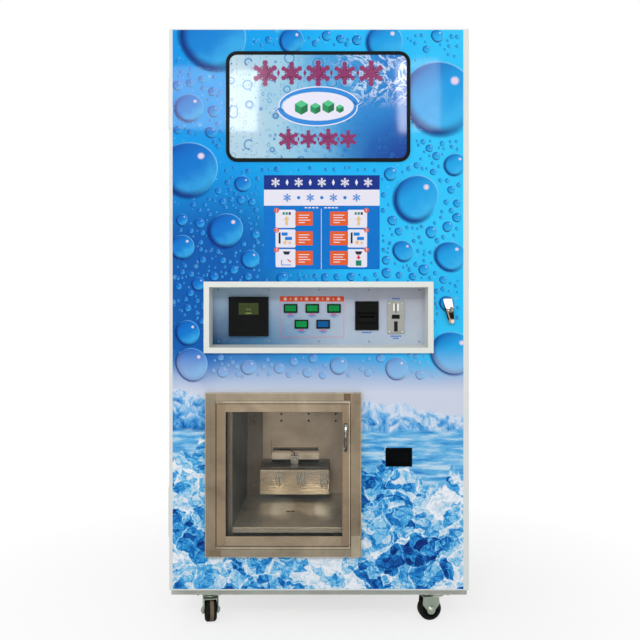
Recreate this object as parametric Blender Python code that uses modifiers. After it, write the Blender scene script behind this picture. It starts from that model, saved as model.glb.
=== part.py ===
"""Ice vending machine: a steel cabinet on casters with a full front service door, a glazed ice hatch in it,
a sunk control fascia, and behind the door the ice maker, the bin with its auger, and the compartment.
Metres, +Z up, the front faces -Y, the floor is z = 0."""

import math

import bmesh
import bpy
from mathutils import Matrix, Vector

# Sheet, gaps and cuts
SHEET = 0.002
GAP = 0.0003
OVERRUN = 0.004

# Cabinet
CABINET_WIDTH = 0.980
CABINET_DEPTH = 1.000
CABINET_TOP = 1.958
CASTER_HEIGHT = 0.095
BASE_HEIGHT = 0.027
PAN_DEPTH = 0.020
SIDE_RAIL = 0.050
CROSS_RAIL = 0.135
JAMB_WIDTH = 0.035
JAMB_DEPTH = 0.020

# Louvres and mains inlet in the rear panel
LOUVRE_REACH = 0.008
LOUVRE_WIDTH = 0.300
LOUVRE_HEIGHT = 0.020
LOUVRE_SLOT = 0.006
LOUVRE_PITCH = 0.040
LOUVRE_COUNT = 8
LOUVRE_X = 0.200
LOUVRE_BOTTOMS = (0.260, 1.470)
INLET_X = -0.360
INLET_Z = 0.230
INLET_WIDTH = 0.062
INLET_HEIGHT = 0.046
INLET_RIM = 0.006
INLET_DEPTH = 0.016
INLET_PIN = 0.004
INLET_PIN_LENGTH = 0.011
INLET_PIN_SHARES = ((-0.25, -0.12), (0.0, 0.18), (0.25, -0.12))

# Service door
DOOR_THICKNESS = 0.032
DOOR_SEAM = 0.004
DOOR_RETURN = 0.050
GASKET_MARGIN = 0.010
GASKET_WIDTH = 0.016
GASKET_GROOVE = 0.004
GASKET_GROOVE_DEPTH = 0.0012

# Surface hinges of the service door
HINGE_HEIGHT = 0.160
HINGE_BOTTOMS = (0.295, 1.638)
HINGE_PROUD = 0.009
HINGE_LEAF = 0.003
HINGE_LEAF_WIDTH = 0.040
HINGE_PIN = 0.0022
HINGE_PLAY = 0.0004
KNUCKLE_SHARES = (0.3, 0.7)
HINGE_SIDES = 20

# Lit sign
SIGN_X = -0.003
SIGN_BOTTOM = 1.523
SIGN_WIDTH = 0.602
SIGN_HEIGHT = 0.361
SIGN_TRIM = 0.0115
SIGN_CORNER = 0.036
SIGN_PROUD = 0.004
SIGN_NECK = 0.006
SIGN_PANEL = 0.003
SIGN_SINK = 0.001
SIGN_BOX_DEPTH = 0.085
SIGN_BOX_FLANGE = 0.010
SIGN_STEPS = 6

# Control recess
BEZEL_X = -0.0015
BEZEL_BOTTOM = 0.898
BEZEL_WIDTH = 0.749
BEZEL_HEIGHT = 0.233
BEZEL_FACE = 0.018
BEZEL_PROUD = 0.012
BEZEL_SILL_RISE = 0.008
RECESS_DEPTH = 0.087

# Card reader with its display
READER_X = -0.2365
READER_Z = 1.018
READER_WIDTH = 0.133
READER_HEIGHT = 0.132
READER_PROUD = 0.012
READER_BODY_MARGIN = 0.008
READER_BODY_DEPTH = 0.028
READER_EDGE = 0.002
LENS_RISE = 0.0255
LENS_WIDTH = 0.067
LENS_HEIGHT = 0.039
LENS_THICKNESS = 0.003
LENS_SINK = 0.001

# Push buttons: places are in steps of the pitch and of the row drop
BUTTON_GROUP_X = -0.023
BUTTON_TOP_Z = 1.045
BUTTON_PITCH = 0.073
BUTTON_ROW_DROP = 0.053
BUTTON_PLACE_SHARES = ((-1.0, 0.0), (0.0, 0.0), (1.0, 0.0), (-0.5, 1.0), (0.5, 1.0))
BUTTON_WIDTH = 0.0456
BUTTON_HEIGHT = 0.0294
BUTTON_RIM = 0.004
BUTTON_PROUD = 0.005
BUTTON_NECK_MARGIN = 0.002
BUTTON_NECK_DEPTH = 0.024
BUTTON_POCKET = 0.0105
BUTTON_CAP = 0.009
BUTTON_CAP_PROUD = 0.002
BUTTON_PLAY = 0.0005
BUTTON_EDGE = 0.0012

# Bill acceptor
BILL_X = 0.1605
BILL_Z = 1.0205
BILL_WIDTH = 0.079
BILL_HEIGHT = 0.097
BILL_PROUD = 0.006
BILL_SNOUT = 0.014
BILL_SNOUT_MARGIN = 0.009
BILL_SNOUT_HEIGHT = 0.034
BILL_SNOUT_DROP = 0.004
BILL_SLOT = 0.006
BILL_SLOT_MARGIN = 0.004
BILL_SLOT_DEPTH = 0.020
BILL_BODY_MARGIN = 0.006
BILL_BODY_DEPTH = 0.055
BILL_EDGE = 0.002

# Coin acceptor
COIN_X = 0.258
COIN_Z = 1.0145
COIN_WIDTH = 0.057
COIN_HEIGHT = 0.109
COIN_PROUD = 0.004
COIN_BODY_MARGIN = 0.005
COIN_BODY_DEPTH = 0.045
COIN_EDGE = 0.001
COIN_SLOT_WIDTH = 0.0035
COIN_SLOT_HEIGHT = 0.030
COIN_SLOT_RISE = 0.030
COIN_SLOT_DEPTH = 0.015
COIN_WINDOW_WIDTH = 0.028
COIN_WINDOW_HEIGHT = 0.014
COIN_WINDOW_RISE = 0.002
COIN_WINDOW_DEPTH = 0.002
RETURN_WIDTH = 0.012
RETURN_HEIGHT = 0.034
RETURN_DROP = 0.030
RETURN_PROUD = 0.006
RETURN_POCKET = 0.010
RETURN_PLAY = 0.0005
RETURN_LENGTH = 0.011

# Ice hatch in the door
HATCH_X = -0.117
HATCH_BOTTOM = 0.234
HATCH_WIDTH = 0.508
HATCH_HEIGHT = 0.535
HATCH_BAND = 0.035
HATCH_PROUD = 0.014
HATCH_NECK_BAND = 0.020
HATCH_STOP = 0.014
LEAF_GAP = 0.002
LEAF_THICKNESS = 0.020
LEAF_STOP_GAP = 0.001
STILE_LEFT = 0.030
STILE_RIGHT = 0.024
RAIL_TOP = 0.025
RAIL_BOTTOM = 0.031
GLASS_LAP = 0.007
GLASS_THICKNESS = 0.004
GLASS_LIP = 0.003
LEAF_PIVOT_INSET = 0.004
LEAF_PIN = 0.002
LEAF_PIN_LENGTH = 0.008
LEAF_PIN_PLAY = 0.0003

# Bow handle of the hatch
HANDLE_INSET = 0.0135
HANDLE_TOP = 0.669
HANDLE_LENGTH = 0.091
HANDLE_RADIUS = 0.0045
HANDLE_REACH = 0.026
HANDLE_FOOT = 0.007
HANDLE_FOOT_DEPTH = 0.004
HANDLE_STEPS = 12

# Small dark window beside the hatch
WINDOW_X = 0.2605
WINDOW_BOTTOM = 0.527
WINDOW_WIDTH = 0.087
WINDOW_HEIGHT = 0.061
WINDOW_PROUD = 0.002
WINDOW_RIM = 0.003
WINDOW_SINK = 0.006
WINDOW_BODY_MARGIN = 0.004
WINDOW_BODY_DEPTH = 0.022

# Handle lock
LOCK_X = 0.420
LOCK_Z = 1.060
LOCK_ROSE = 0.014
LOCK_ROSE_PROUD = 0.007
LOCK_BARREL = 0.010
LOCK_BARREL_DEPTH = 0.028
LOCK_SHAFT = 0.005
LOCK_PLAY = 0.0004
LOCK_HANDLE_WIDTH = 0.027
LOCK_HANDLE_UP = 0.017
LOCK_HANDLE_DOWN = 0.066
LOCK_HANDLE_WAIST = 0.017
LOCK_HANDLE_THICKNESS = 0.010
LOCK_HANDLE_EDGE = 0.002
LOCK_TILT = math.radians(10)
LOCK_CAM_LENGTH = 0.036
LOCK_CAM_WIDTH = 0.014
LOCK_CAM_THICKNESS = 0.004
LOCK_CAM_BEHIND_JAMB = 0.003

# Filling compartment
COMP_LEFT = -0.288
COMP_RIGHT = 0.095
COMP_FLOOR = 0.272
COMP_CEILING = 0.745
COMP_SETBACK = 0.004
COMP_REACH = 0.585
COMP_FLANGE = 0.016
SHELF_TOP = 0.316
SHELF_SETBACK = 0.005
DRAIN_X = -0.1035
DRAIN_REACH = 0.265
DRAIN_PITCH = 0.016
DRAIN_LENGTH = 0.011
DRAIN_WIDTH = 0.005
DRAIN_SHARES = (-0.5, 0.5)

# Chute panel with its slot and bolts
CHUTE_REACH = 0.560
CHUTE_LEFT = -0.224
NOTCH_RIGHT = 0.043
NOTCH_TOP = 0.455
SLOT_LEFT = -0.188
SLOT_LENGTH = 0.189
SLOT_BOTTOM = 0.487
SLOT_HEIGHT = 0.013
LIP_HEIGHT = 0.034
LIP_PROUD = 0.004
BOLT_COLUMNS = (-0.150, -0.042, 0.065)
BOLT_ROWS = (0.606, 0.633)
BOLT_RADIUS = 0.005
BOLT_HEAD = 0.004

# Hood over the outlet, and the sensor above it
HOOD_X = -0.094
HOOD_WIDTH = 0.265
HOOD_REACH = 0.450
HOOD_BOTTOM = 0.337
HOOD_TOP = 0.436
HOOD_BEND = 0.010
HOOD_LAP = 0.012
HOOD_STEPS = 4
SENSOR_X = -0.098
SENSOR_BOTTOM = 0.437
SENSOR_WIDTH = 0.029
SENSOR_HEIGHT = 0.031
SENSOR_THICKNESS = 0.005
SENSOR_CABLE = 0.0016

# Ice bin
BIN_HALF = 0.380
BIN_REACH = 0.592
BIN_CLEAR = 0.012
BIN_BOTTOM = 0.790
BIN_TOP = 1.450
BIN_WALL = 0.015
BIN_SLOPE = 0.240
TROUGH_RADIUS = 0.075
TROUGH_STEPS = 8
LEG_SIZE = 0.036
NECK_WIDTH = 0.150
NECK_DEPTH = 0.125
NECK_WALL = 0.004
NECK_BOTTOM = 0.333
NECK_MOUTH_TOP = 0.420
NECK_RAMP = 0.070

# Auger, its gearmotor, the ice maker
AUGER_SHAFT = 0.012
AUGER_PLAY = 0.0005
AUGER_RADIUS = 0.066
AUGER_PITCH = 0.080
AUGER_THICKNESS = 0.004
AUGER_END = 0.006
AUGER_STUB = 0.034
AUGER_STEPS = 16
GEARBOX_SIZE = 0.120
GEARBOX_DEPTH = 0.050
GEARBOX_EDGE = 0.010
MOTOR_RADIUS = 0.042
MOTOR_LENGTH = 0.130
MAKER_INSET = 0.006
MAKER_HEIGHT = 0.420
GRILLE_LEFT = -0.300
GRILLE_WIDTH = 0.260
GRILLE_BOTTOM = 0.060
GRILLE_PITCH = 0.022
GRILLE_SLOT = 0.008
GRILLE_COUNT = 13
EVAPORATOR_COUNT = 5
EVAPORATOR_PITCH = 0.070
EVAPORATOR_THICKNESS = 0.012
EVAPORATOR_DEPTH = 0.200
EVAPORATOR_HEIGHT = 0.280

# Control box on the right side panel
CONTROL_BOX_DEPTH = 0.085
CONTROL_BOX_FRONT = -0.300
CONTROL_BOX_WIDTH = 0.340
CONTROL_BOX_BOTTOM = 0.300
CONTROL_BOX_HEIGHT = 0.400

# Casters
FRONT_STEM_INSET = 0.083
REAR_STEM_INSET = 0.085
FRONT_LEFT_STEM_SIDE = 0.122
FRONT_RIGHT_STEM_SIDE = 0.096
REAR_STEM_SIDE = 0.112
FRONT_LEFT_TURN = math.radians(-78)
FRONT_RIGHT_TURN = math.radians(190)
REAR_TURN = math.radians(90)
CASTER_TRAIL = 0.024
PLATE_WIDTH = 0.090
PLATE_DEPTH = 0.075
PLATE_THICKNESS = 0.003
RACE_HEIGHT = 0.009
RACE_RADIUS = 0.024
CROWN_RADIUS = 0.026
KING_PIN = 0.006
KING_PIN_PLAY = 0.0004
FORK_SHEET = 0.003
FORK_CLEAR = 0.003
FORK_TOP = 0.0265
FORK_LOBE = 0.029
FORK_LOBE_RISE = 0.0185
FORK_FOOT = 0.0115
FORK_TAPER = math.radians(38)
FORK_STEPS = 6
AXLE_RADIUS = 0.005
AXLE_PLAY = 0.0004
AXLE_NUT = 0.006
WHEEL_RADIUS = 0.0375
WHEEL_WIDTH = 0.038
WHEEL_SIDES = 24
HUB_RADIUS = 0.011
HUB_PROUD = 0.0025
DISC_SHARE = 0.60
RIM_SHARE = 0.72
TREAD_EDGE_SHARE = 0.16

# Places worked out from the sizes above
HALF = CABINET_WIDTH / 2
FRONT_REACH = HATCH_PROUD + HANDLE_REACH
FRONT = FRONT_REACH - (FRONT_REACH + CABINET_DEPTH + LOUVRE_REACH) / 2
BACK = FRONT + CABINET_DEPTH
DOOR_BACK = FRONT + DOOR_THICKNESS
BODY_FRONT = DOOR_BACK + DOOR_SEAM
BASE_TOP = CASTER_HEIGHT + BASE_HEIGHT
INSIDE_HALF = HALF - PAN_DEPTH - GAP
INSIDE_BOTTOM = BASE_TOP + GAP
INSIDE_TOP = CABINET_TOP - PAN_DEPTH - GAP
FASCIA = FRONT - BEZEL_PROUD + RECESS_DEPTH
HATCH_FRONT = FRONT - HATCH_PROUD
HINGE_AXIS = Vector((-HALF - HINGE_PROUD / 2, DOOR_BACK + DOOR_SEAM / 2, 0))
COMP_FRONT = BODY_FRONT + COMP_SETBACK
COMP_BACK = FRONT + COMP_REACH
DRAIN_Y = FRONT + DRAIN_REACH
CHUTE_FRONT = FRONT + CHUTE_REACH
HOOD_FRONT = FRONT + HOOD_REACH
BIN_FRONT = FRONT + BIN_REACH
WHEEL_FLAT = WHEEL_RADIUS / math.cos(math.pi / WHEEL_SIDES)

for old in list(bpy.data.objects):
    bpy.data.objects.remove(old, do_unlink=True)

PARTS = bpy.data.collections.new("ice_vending_machine")
CUTTERS = bpy.data.collections.new("cutters")
for group in (PARTS, CUTTERS):
    bpy.context.scene.collection.children.link(group)


def finish(name, colour, roughness, metallic=0.0):
    """A Principled material."""
    made = bpy.data.materials.new(name)
    made.use_nodes = True
    shader = made.node_tree.nodes["Principled BSDF"]
    shader.inputs["Base Color"].default_value = (*colour, 1.0)
    shader.inputs["Roughness"].default_value = roughness
    shader.inputs["Metallic"].default_value = metallic
    return made


WHITE = finish("white_paint", (0.78, 0.78, 0.75), 0.4)
GREY = finish("grey_paint", (0.38, 0.39, 0.36), 0.5)
WRAP = finish("printed_wrap", (0.03, 0.33, 0.75), 0.25)
RUBBER = finish("black_rubber", (0.015, 0.015, 0.015), 0.8)
ACRYLIC = finish("sign_acrylic", (0.45, 0.65, 0.80), 0.15)
FASCIA_PRINT = finish("fascia_print", (0.25, 0.33, 0.42), 0.4)
BLACK = finish("black_plastic", (0.01, 0.01, 0.01), 0.35)
LCD = finish("lcd", (0.05, 0.07, 0.015), 0.2)
GREEN = finish("green_cap", (0.0, 0.22, 0.06), 0.3)
BLUE = finish("blue_cap", (0.0, 0.09, 0.32), 0.3)
STAINLESS = finish("stainless", (0.38, 0.35, 0.30), 0.3, 1.0)
CHROME = finish("chrome", (0.7, 0.7, 0.7), 0.1, 1.0)
GLASS = finish("glass", (0.7, 0.75, 0.75), 0.05)
ZINC = finish("zinc", (0.35, 0.40, 0.35), 0.4, 1.0)
TREAD = finish("wheel", (0.02, 0.02, 0.015), 0.6)
FOAM = finish("bin_liner", (0.75, 0.77, 0.78), 0.5)


def place(mesh, name, material, origin, cutter=False):
    """Makes an object from a mesh whose points are in world places, with its origin where asked."""
    origin = Vector(origin)
    mesh.transform(Matrix.Translation(-origin))
    made = bpy.data.objects.new(name, mesh)
    made.location = origin
    if cutter:
        CUTTERS.objects.link(made)
        made.hide_render = True
        made.display_type = "WIRE"
    else:
        PARTS.objects.link(made)
        mesh.materials.append(material)
    return made


def mesh_of(bm, name):
    """Turns a bmesh into a mesh and frees it."""
    bmesh.ops.recalc_face_normals(bm, faces=bm.faces)
    mesh = bpy.data.meshes.new(name)
    bm.to_mesh(mesh)
    bm.free()
    return mesh


def add_box(bm, low, high):
    """Adds a box between two corners."""
    low, high = Vector(low), Vector(high)
    size = Matrix.Diagonal((*(high - low), 1.0))
    return bmesh.ops.create_cube(bm, size=1.0, matrix=Matrix.Translation((low + high) / 2) @ size)["verts"]


def box(name, low, high, material=None, origin=None, edge=0.0, edge_axis=None, steps=2):
    """A box, with its edges rounded by edge: all of them, or only those along edge_axis."""
    bm = bmesh.new()
    add_box(bm, low, high)
    if edge:
        rounded = list(bm.edges)
        if edge_axis is not None:
            ways = {e: (e.verts[0].co - e.verts[1].co).normalized() for e in bm.edges}
            rounded = [e for e in bm.edges if abs(ways[e][edge_axis]) > 0.5]
        bmesh.ops.bevel(bm, geom=rounded, offset=edge, segments=steps, profile=0.5, affect="EDGES")
    middle = (Vector(low) + Vector(high)) / 2
    return place(mesh_of(bm, name), name, material, origin or middle, cutter=material is None)


def boxes(name, corners, material=None):
    """Several separate boxes in one mesh, as a cutter."""
    bm = bmesh.new()
    for low, high in corners:
        add_box(bm, low, high)
    return place(mesh_of(bm, name), name, material, corners[0][0], cutter=material is None)


def rod(name, start, end, radius, material=None, origin=None, sides=24, end_radius=None):
    """A round bar between two points, or a cone where end_radius differs."""
    start, end = Vector(start), Vector(end)
    along = end - start
    turn = along.to_track_quat("Z", "Y").to_matrix().to_4x4()
    bm = bmesh.new()
    bmesh.ops.create_cone(
        bm, cap_ends=True, segments=sides, radius1=radius,
        radius2=radius if end_radius is None else end_radius, depth=along.length,
        matrix=Matrix.Translation((start + end) / 2) @ turn,
    )
    mesh = mesh_of(bm, name)
    mesh.shade_smooth()
    mesh.set_sharp_from_angle(angle=math.radians(35))
    return place(mesh, name, material, origin or start, cutter=material is None)


def profile(name, outline, thickness, material=None, origin=(0, 0, 0), turn=None):
    """A flat outline made solid: a filled 2D curve, its thickness centred on its plane, then made a mesh."""
    curve = bpy.data.curves.new(name, "CURVE")
    curve.dimensions = "2D"
    curve.fill_mode = "BOTH"
    curve.extrude = thickness / 2
    line = curve.splines.new("POLY")
    line.points.add(len(outline) - 1)
    for point, (u, v) in zip(line.points, outline):
        point.co = (u, v, 0, 1)
    line.use_cyclic_u = True
    flat = bpy.data.objects.new(name + "_outline", curve)
    CUTTERS.objects.link(flat)
    flat.matrix_world = Matrix.Translation(origin) @ (turn or Matrix.Identity(4))
    bpy.context.view_layer.update()
    mesh = bpy.data.meshes.new_from_object(flat.evaluated_get(bpy.context.evaluated_depsgraph_get()))
    mesh.name = name
    bm = bmesh.new()
    bm.from_mesh(mesh)
    bmesh.ops.remove_doubles(bm, verts=bm.verts, dist=GAP / 30)
    bmesh.ops.recalc_face_normals(bm, faces=bm.faces)
    bm.to_mesh(mesh)
    bm.free()
    mesh.materials.clear()
    matrix = flat.matrix_world.copy()
    bpy.data.objects.remove(flat, do_unlink=True)
    made = place(mesh, name, material, (0, 0, 0), cutter=material is None)
    made.matrix_world = matrix
    return made


def turned(name, points, material=None, origin=(0, 0, 0), turn=None, steps=24, ring=False):
    """A turned shape: radius and height pairs, top to bottom on the outside, swept by a Screw modifier."""
    mesh = bpy.data.meshes.new(name)
    count = len(points)
    links = [(i, i + 1) for i in range(count - 1)]
    if ring:
        links.append((count - 1, 0))
    mesh.from_pydata([(r, 0, z) for r, z in points], links, [])
    made = place(mesh, name, material, (0, 0, 0), cutter=material is None)
    made.matrix_world = Matrix.Translation(origin) @ (turn or Matrix.Identity(4))
    sweep = made.modifiers.new("turn", "SCREW")
    sweep.steps = sweep.render_steps = steps
    sweep.use_merge_vertices = True
    sweep.merge_threshold = GAP / 30
    sweep.use_smooth_shade = True
    return made


def combine(target, tool, operation):
    """Adds one Boolean step, in which the tool is cut from the target or joined to it."""
    step = target.modifiers.new(tool.name, "BOOLEAN")
    step.operation = operation
    step.solver = "EXACT"
    step.object = tool
    return target


def cut(target, *tools):
    for tool in tools:
        combine(target, tool, "DIFFERENCE")
    return target


def join(target, *tools):
    for tool in tools:
        combine(target, tool, "UNION")
    return target


def frame_ring(name, low, high, band, material=None, **options):
    """A box with an opening through it along Y. The band is (left, right, bottom, top)."""
    left, right, bottom, top = band
    made = box(name, low, high, material, **options)
    hole = box(
        name + "_hole",
        (low[0] + left, low[1] - OVERRUN, low[2] + bottom),
        (high[0] - right, high[1] + OVERRUN, high[2] - top),
    )
    return cut(made, hole)


# Cabinet shell
def build_cabinet():
    base = box("base_frame", (-HALF, BODY_FRONT, CASTER_HEIGHT), (HALF, BACK, BASE_TOP), GREY)
    hollow = box(
        "base_hollow",
        (-HALF + SIDE_RAIL, BODY_FRONT + CROSS_RAIL, CASTER_HEIGHT - OVERRUN),
        (HALF - SIDE_RAIL, BACK - CROSS_RAIL, BASE_TOP - SHEET),
    )
    cut(base, hollow)

    for side, name in ((-1, "left_side_panel"), (1, "right_side_panel")):
        outer, inner = side * HALF, side * (HALF - PAN_DEPTH)
        panel = box(
            name,
            (min(outer, inner), BODY_FRONT, INSIDE_BOTTOM),
            (max(outer, inner), BACK, INSIDE_TOP),
            WHITE,
        )
        deep, open_side = side * (HALF - SHEET), side * (HALF - PAN_DEPTH - OVERRUN)
        cut(panel, box(
            name + "_hollow",
            (min(deep, open_side), BODY_FRONT + SHEET, INSIDE_BOTTOM + SHEET),
            (max(deep, open_side), BACK - SHEET, INSIDE_TOP - SHEET),
        ))

    top = box("top_panel", (-HALF, BODY_FRONT, CABINET_TOP - PAN_DEPTH), (HALF, BACK, CABINET_TOP), WHITE)
    cut(top, box(
        "top_hollow",
        (-HALF + SHEET, BODY_FRONT + SHEET, CABINET_TOP - PAN_DEPTH - OVERRUN),
        (HALF - SHEET, BACK - SHEET, CABINET_TOP - SHEET),
    ))

    jamb = frame_ring(
        "front_jamb",
        (-INSIDE_HALF, BODY_FRONT, INSIDE_BOTTOM),
        (INSIDE_HALF, BODY_FRONT + JAMB_DEPTH, INSIDE_TOP),
        (JAMB_WIDTH,) * 4,
        WHITE,
    )
    groove_front, groove_back = BODY_FRONT + SHEET, BODY_FRONT + JAMB_DEPTH + OVERRUN
    grooves = []
    for side in (-1, 1):
        near, far = side * (INSIDE_HALF - JAMB_WIDTH + SHEET), side * (INSIDE_HALF - SHEET)
        grooves.append((
            (min(near, far), groove_front, INSIDE_BOTTOM + SHEET),
            (max(near, far), groove_back, INSIDE_TOP - SHEET),
        ))
    level_end = INSIDE_HALF - JAMB_WIDTH
    for bottom in (INSIDE_BOTTOM + SHEET, INSIDE_TOP - JAMB_WIDTH + SHEET):
        grooves.append((
            (-level_end, groove_front, bottom),
            (level_end, groove_back, bottom + JAMB_WIDTH - 2 * SHEET),
        ))
    cut(jamb, boxes("jamb_grooves", grooves))


# Rear panel with its pressed louvres and the mains inlet
def build_rear_panel():
    front_side = BACK - PAN_DEPTH
    panel = box(
        "rear_panel", (-INSIDE_HALF, front_side, INSIDE_BOTTOM), (INSIDE_HALF, BACK, INSIDE_TOP), WHITE,
    )
    cut(panel, box(
        "rear_hollow",
        (-INSIDE_HALF + SHEET, front_side - OVERRUN, INSIDE_BOTTOM + SHEET),
        (INSIDE_HALF - SHEET, BACK - SHEET, INSIDE_TOP - SHEET),
    ))
    hoods, slots = bmesh.new(), []
    for x in (-LOUVRE_X, LOUVRE_X):
        for bottom in LOUVRE_BOTTOMS:
            for step in range(LOUVRE_COUNT):
                z = bottom + step * LOUVRE_PITCH
                corners = add_box(
                    hoods,
                    (x - LOUVRE_WIDTH / 2, BACK - SHEET / 2, z),
                    (x + LOUVRE_WIDTH / 2, BACK + LOUVRE_REACH, z + LOUVRE_HEIGHT),
                )
                for corner in corners:
                    if corner.co.z > z + LOUVRE_HEIGHT / 2 and corner.co.y > BACK:
                        corner.co.y = BACK + GAP
                slots.append((
                    (x - LOUVRE_WIDTH / 2 + SHEET, BACK - SHEET - OVERRUN, z - OVERRUN),
                    (x + LOUVRE_WIDTH / 2 - SHEET, BACK + LOUVRE_REACH - SHEET, z + LOUVRE_SLOT),
                ))
    join(panel, place(mesh_of(hoods, "louvre_hoods"), "louvre_hoods", None, (0, BACK, 0), cutter=True))
    cut(panel, boxes("louvre_slots", slots))
    low = (INLET_X - INLET_WIDTH / 2, BACK - SHEET - INLET_DEPTH, INLET_Z - INLET_HEIGHT / 2)
    high = (INLET_X + INLET_WIDTH / 2, BACK + SHEET, INLET_Z + INLET_HEIGHT / 2)
    join(panel, box("inlet_body", low, high))
    cut(panel, box(
        "inlet_hollow",
        (low[0] + INLET_RIM, BACK - INLET_DEPTH, low[2] + INLET_RIM),
        (high[0] - INLET_RIM, BACK + OVERRUN, high[2] - INLET_RIM),
    ))
    for index, (across, up) in enumerate(INLET_PIN_SHARES):
        x, z = INLET_X + across * INLET_WIDTH, INLET_Z + up * INLET_HEIGHT
        join(panel, box(
            f"inlet_pin_{index + 1}",
            (x - INLET_PIN / 2, BACK - INLET_DEPTH - SHEET / 2, z - INLET_PIN / 2),
            (x + INLET_PIN / 2, BACK - INLET_DEPTH + INLET_PIN_LENGTH, z + INLET_PIN / 2),
        ))


# Service door: a folded pan with a return flange behind, and its openings
def build_door():
    skin = box("door_skin", (-HALF, FRONT, BASE_TOP), (HALF, DOOR_BACK, CABINET_TOP), WRAP, origin=HINGE_AXIS)
    cut(skin, box(
        "door_hollow",
        (-HALF + SHEET, FRONT + SHEET, BASE_TOP + SHEET),
        (HALF - SHEET, DOOR_BACK - SHEET, CABINET_TOP - SHEET),
    ))
    cut(skin, box(
        "door_back_opening",
        (-HALF + DOOR_RETURN, DOOR_BACK - SHEET - OVERRUN, BASE_TOP + DOOR_RETURN),
        (HALF - DOOR_RETURN, DOOR_BACK + OVERRUN, CABINET_TOP - DOOR_RETURN),
    ))
    openings = [
        (BEZEL_X, BEZEL_BOTTOM, BEZEL_WIDTH, BEZEL_HEIGHT, BEZEL_FACE - SHEET),
        (HATCH_X, HATCH_BOTTOM, HATCH_WIDTH, HATCH_HEIGHT, HATCH_BAND - HATCH_NECK_BAND),
        (WINDOW_X, WINDOW_BOTTOM, WINDOW_WIDTH, WINDOW_HEIGHT, WINDOW_BODY_MARGIN),
    ]
    cut(skin, boxes("door_openings", [
        (
            (x - width / 2 + inset - GAP, FRONT - OVERRUN, z + inset - GAP),
            (x + width / 2 - inset + GAP, FRONT + SHEET + OVERRUN, z + height - inset + GAP),
        )
        for x, z, width, height, inset in openings
    ]))
    cut(skin, rod(
        "lock_hole",
        (LOCK_X, FRONT - OVERRUN, LOCK_Z),
        (LOCK_X, FRONT + SHEET + OVERRUN, LOCK_Z),
        LOCK_BARREL + GAP,
    ))

    inset = PAN_DEPTH + GASKET_MARGIN
    low = (-HALF + inset, DOOR_BACK + GAP, BASE_TOP + GASKET_MARGIN)
    high = (HALF - inset, BODY_FRONT - GAP, CABINET_TOP - inset)
    gasket = frame_ring("door_gasket", low, high, (GASKET_WIDTH,) * 4, RUBBER, origin=HINGE_AXIS)
    middle = (GASKET_WIDTH - GASKET_GROOVE) / 2
    groove_low = high[1] - GASKET_GROOVE_DEPTH
    uprights = []
    for x in (low[0] + middle, high[0] - middle - GASKET_GROOVE):
        uprights.append((
            (x, groove_low, low[2] + middle),
            (x + GASKET_GROOVE, high[1] + OVERRUN, high[2] - middle),
        ))
    cut(gasket, boxes("gasket_grooves", uprights))
    return skin


# Surface hinges on the left side: leaf, knuckles and pin
def build_hinges():
    barrel = HINGE_PROUD / 2 - GAP
    outer, inner = -HALF - GAP - HINGE_LEAF, -HALF - GAP
    for place_name, bottom in zip(("lower", "upper"), HINGE_BOTTOMS):
        cuts = [bottom + share * HINGE_HEIGHT for share in KNUCKLE_SHARES]
        top = bottom + HINGE_HEIGHT
        axis_y = HINGE_AXIS.y
        clear = barrel + 2 * GAP
        fixed_name, door_name = f"{place_name}_hinge_fixed", f"{place_name}_hinge_door"
        fixed = box(
            fixed_name,
            (outer, axis_y + clear, bottom),
            (inner, axis_y + clear + HINGE_LEAF_WIDTH, top),
            WHITE,
        )
        for label, low, high in (("foot", bottom, cuts[0]), ("head", cuts[1], top)):
            join(
                fixed,
                box(
                    f"{fixed_name}_{label}_tab",
                    (outer + GAP, axis_y + barrel / 3, low + GAP),
                    (inner - 2 * GAP, axis_y + 2 * clear, high - GAP),
                ),
                rod(
                    f"{fixed_name}_{label}_knuckle",
                    (HINGE_AXIS.x, axis_y, low), (HINGE_AXIS.x, axis_y, high), barrel, sides=HINGE_SIDES,
                ),
            )
        join(fixed, rod(
            f"{fixed_name}_pin",
            (HINGE_AXIS.x, axis_y, bottom + OVERRUN),
            (HINGE_AXIS.x, axis_y, top - OVERRUN),
            HINGE_PIN, sides=HINGE_SIDES,
        ))
        low, high = cuts[0] + GAP, cuts[1] - GAP
        moving = box(
            door_name,
            (outer, FRONT + HINGE_LEAF, bottom),
            (inner, axis_y - clear, top),
            WHITE,
            origin=(HINGE_AXIS.x, axis_y, bottom),
        )
        join(
            moving,
            box(
                f"{door_name}_tab",
                (outer + GAP, axis_y - 2 * clear, low + GAP),
                (inner - 2 * GAP, axis_y - barrel / 3, high - GAP),
            ),
            rod(
                f"{door_name}_knuckle", (HINGE_AXIS.x, axis_y, low), (HINGE_AXIS.x, axis_y, high),
                barrel, sides=HINGE_SIDES,
            ),
        )
        cut(moving, rod(
            f"{door_name}_bore",
            (HINGE_AXIS.x, axis_y, low - OVERRUN),
            (HINGE_AXIS.x, axis_y, high + OVERRUN),
            HINGE_PIN + HINGE_PLAY, sides=HINGE_SIDES,
        ))


def rounded_outline(width, height, radius, steps):
    """Corners of a round-cornered rectangle about its middle, each corner an arc."""
    points = []
    for quarter, (sx, sz) in enumerate(((1, 1), (-1, 1), (-1, -1), (1, -1))):
        for step in range(steps + 1):
            angle = math.radians(90) * (quarter + step / steps)
            points.append((
                sx * (width / 2 - radius) + radius * math.cos(angle),
                sz * (height / 2 - radius) + radius * math.sin(angle),
            ))
    return points


UPRIGHT = Matrix.Rotation(math.radians(90), 4, "X")


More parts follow.
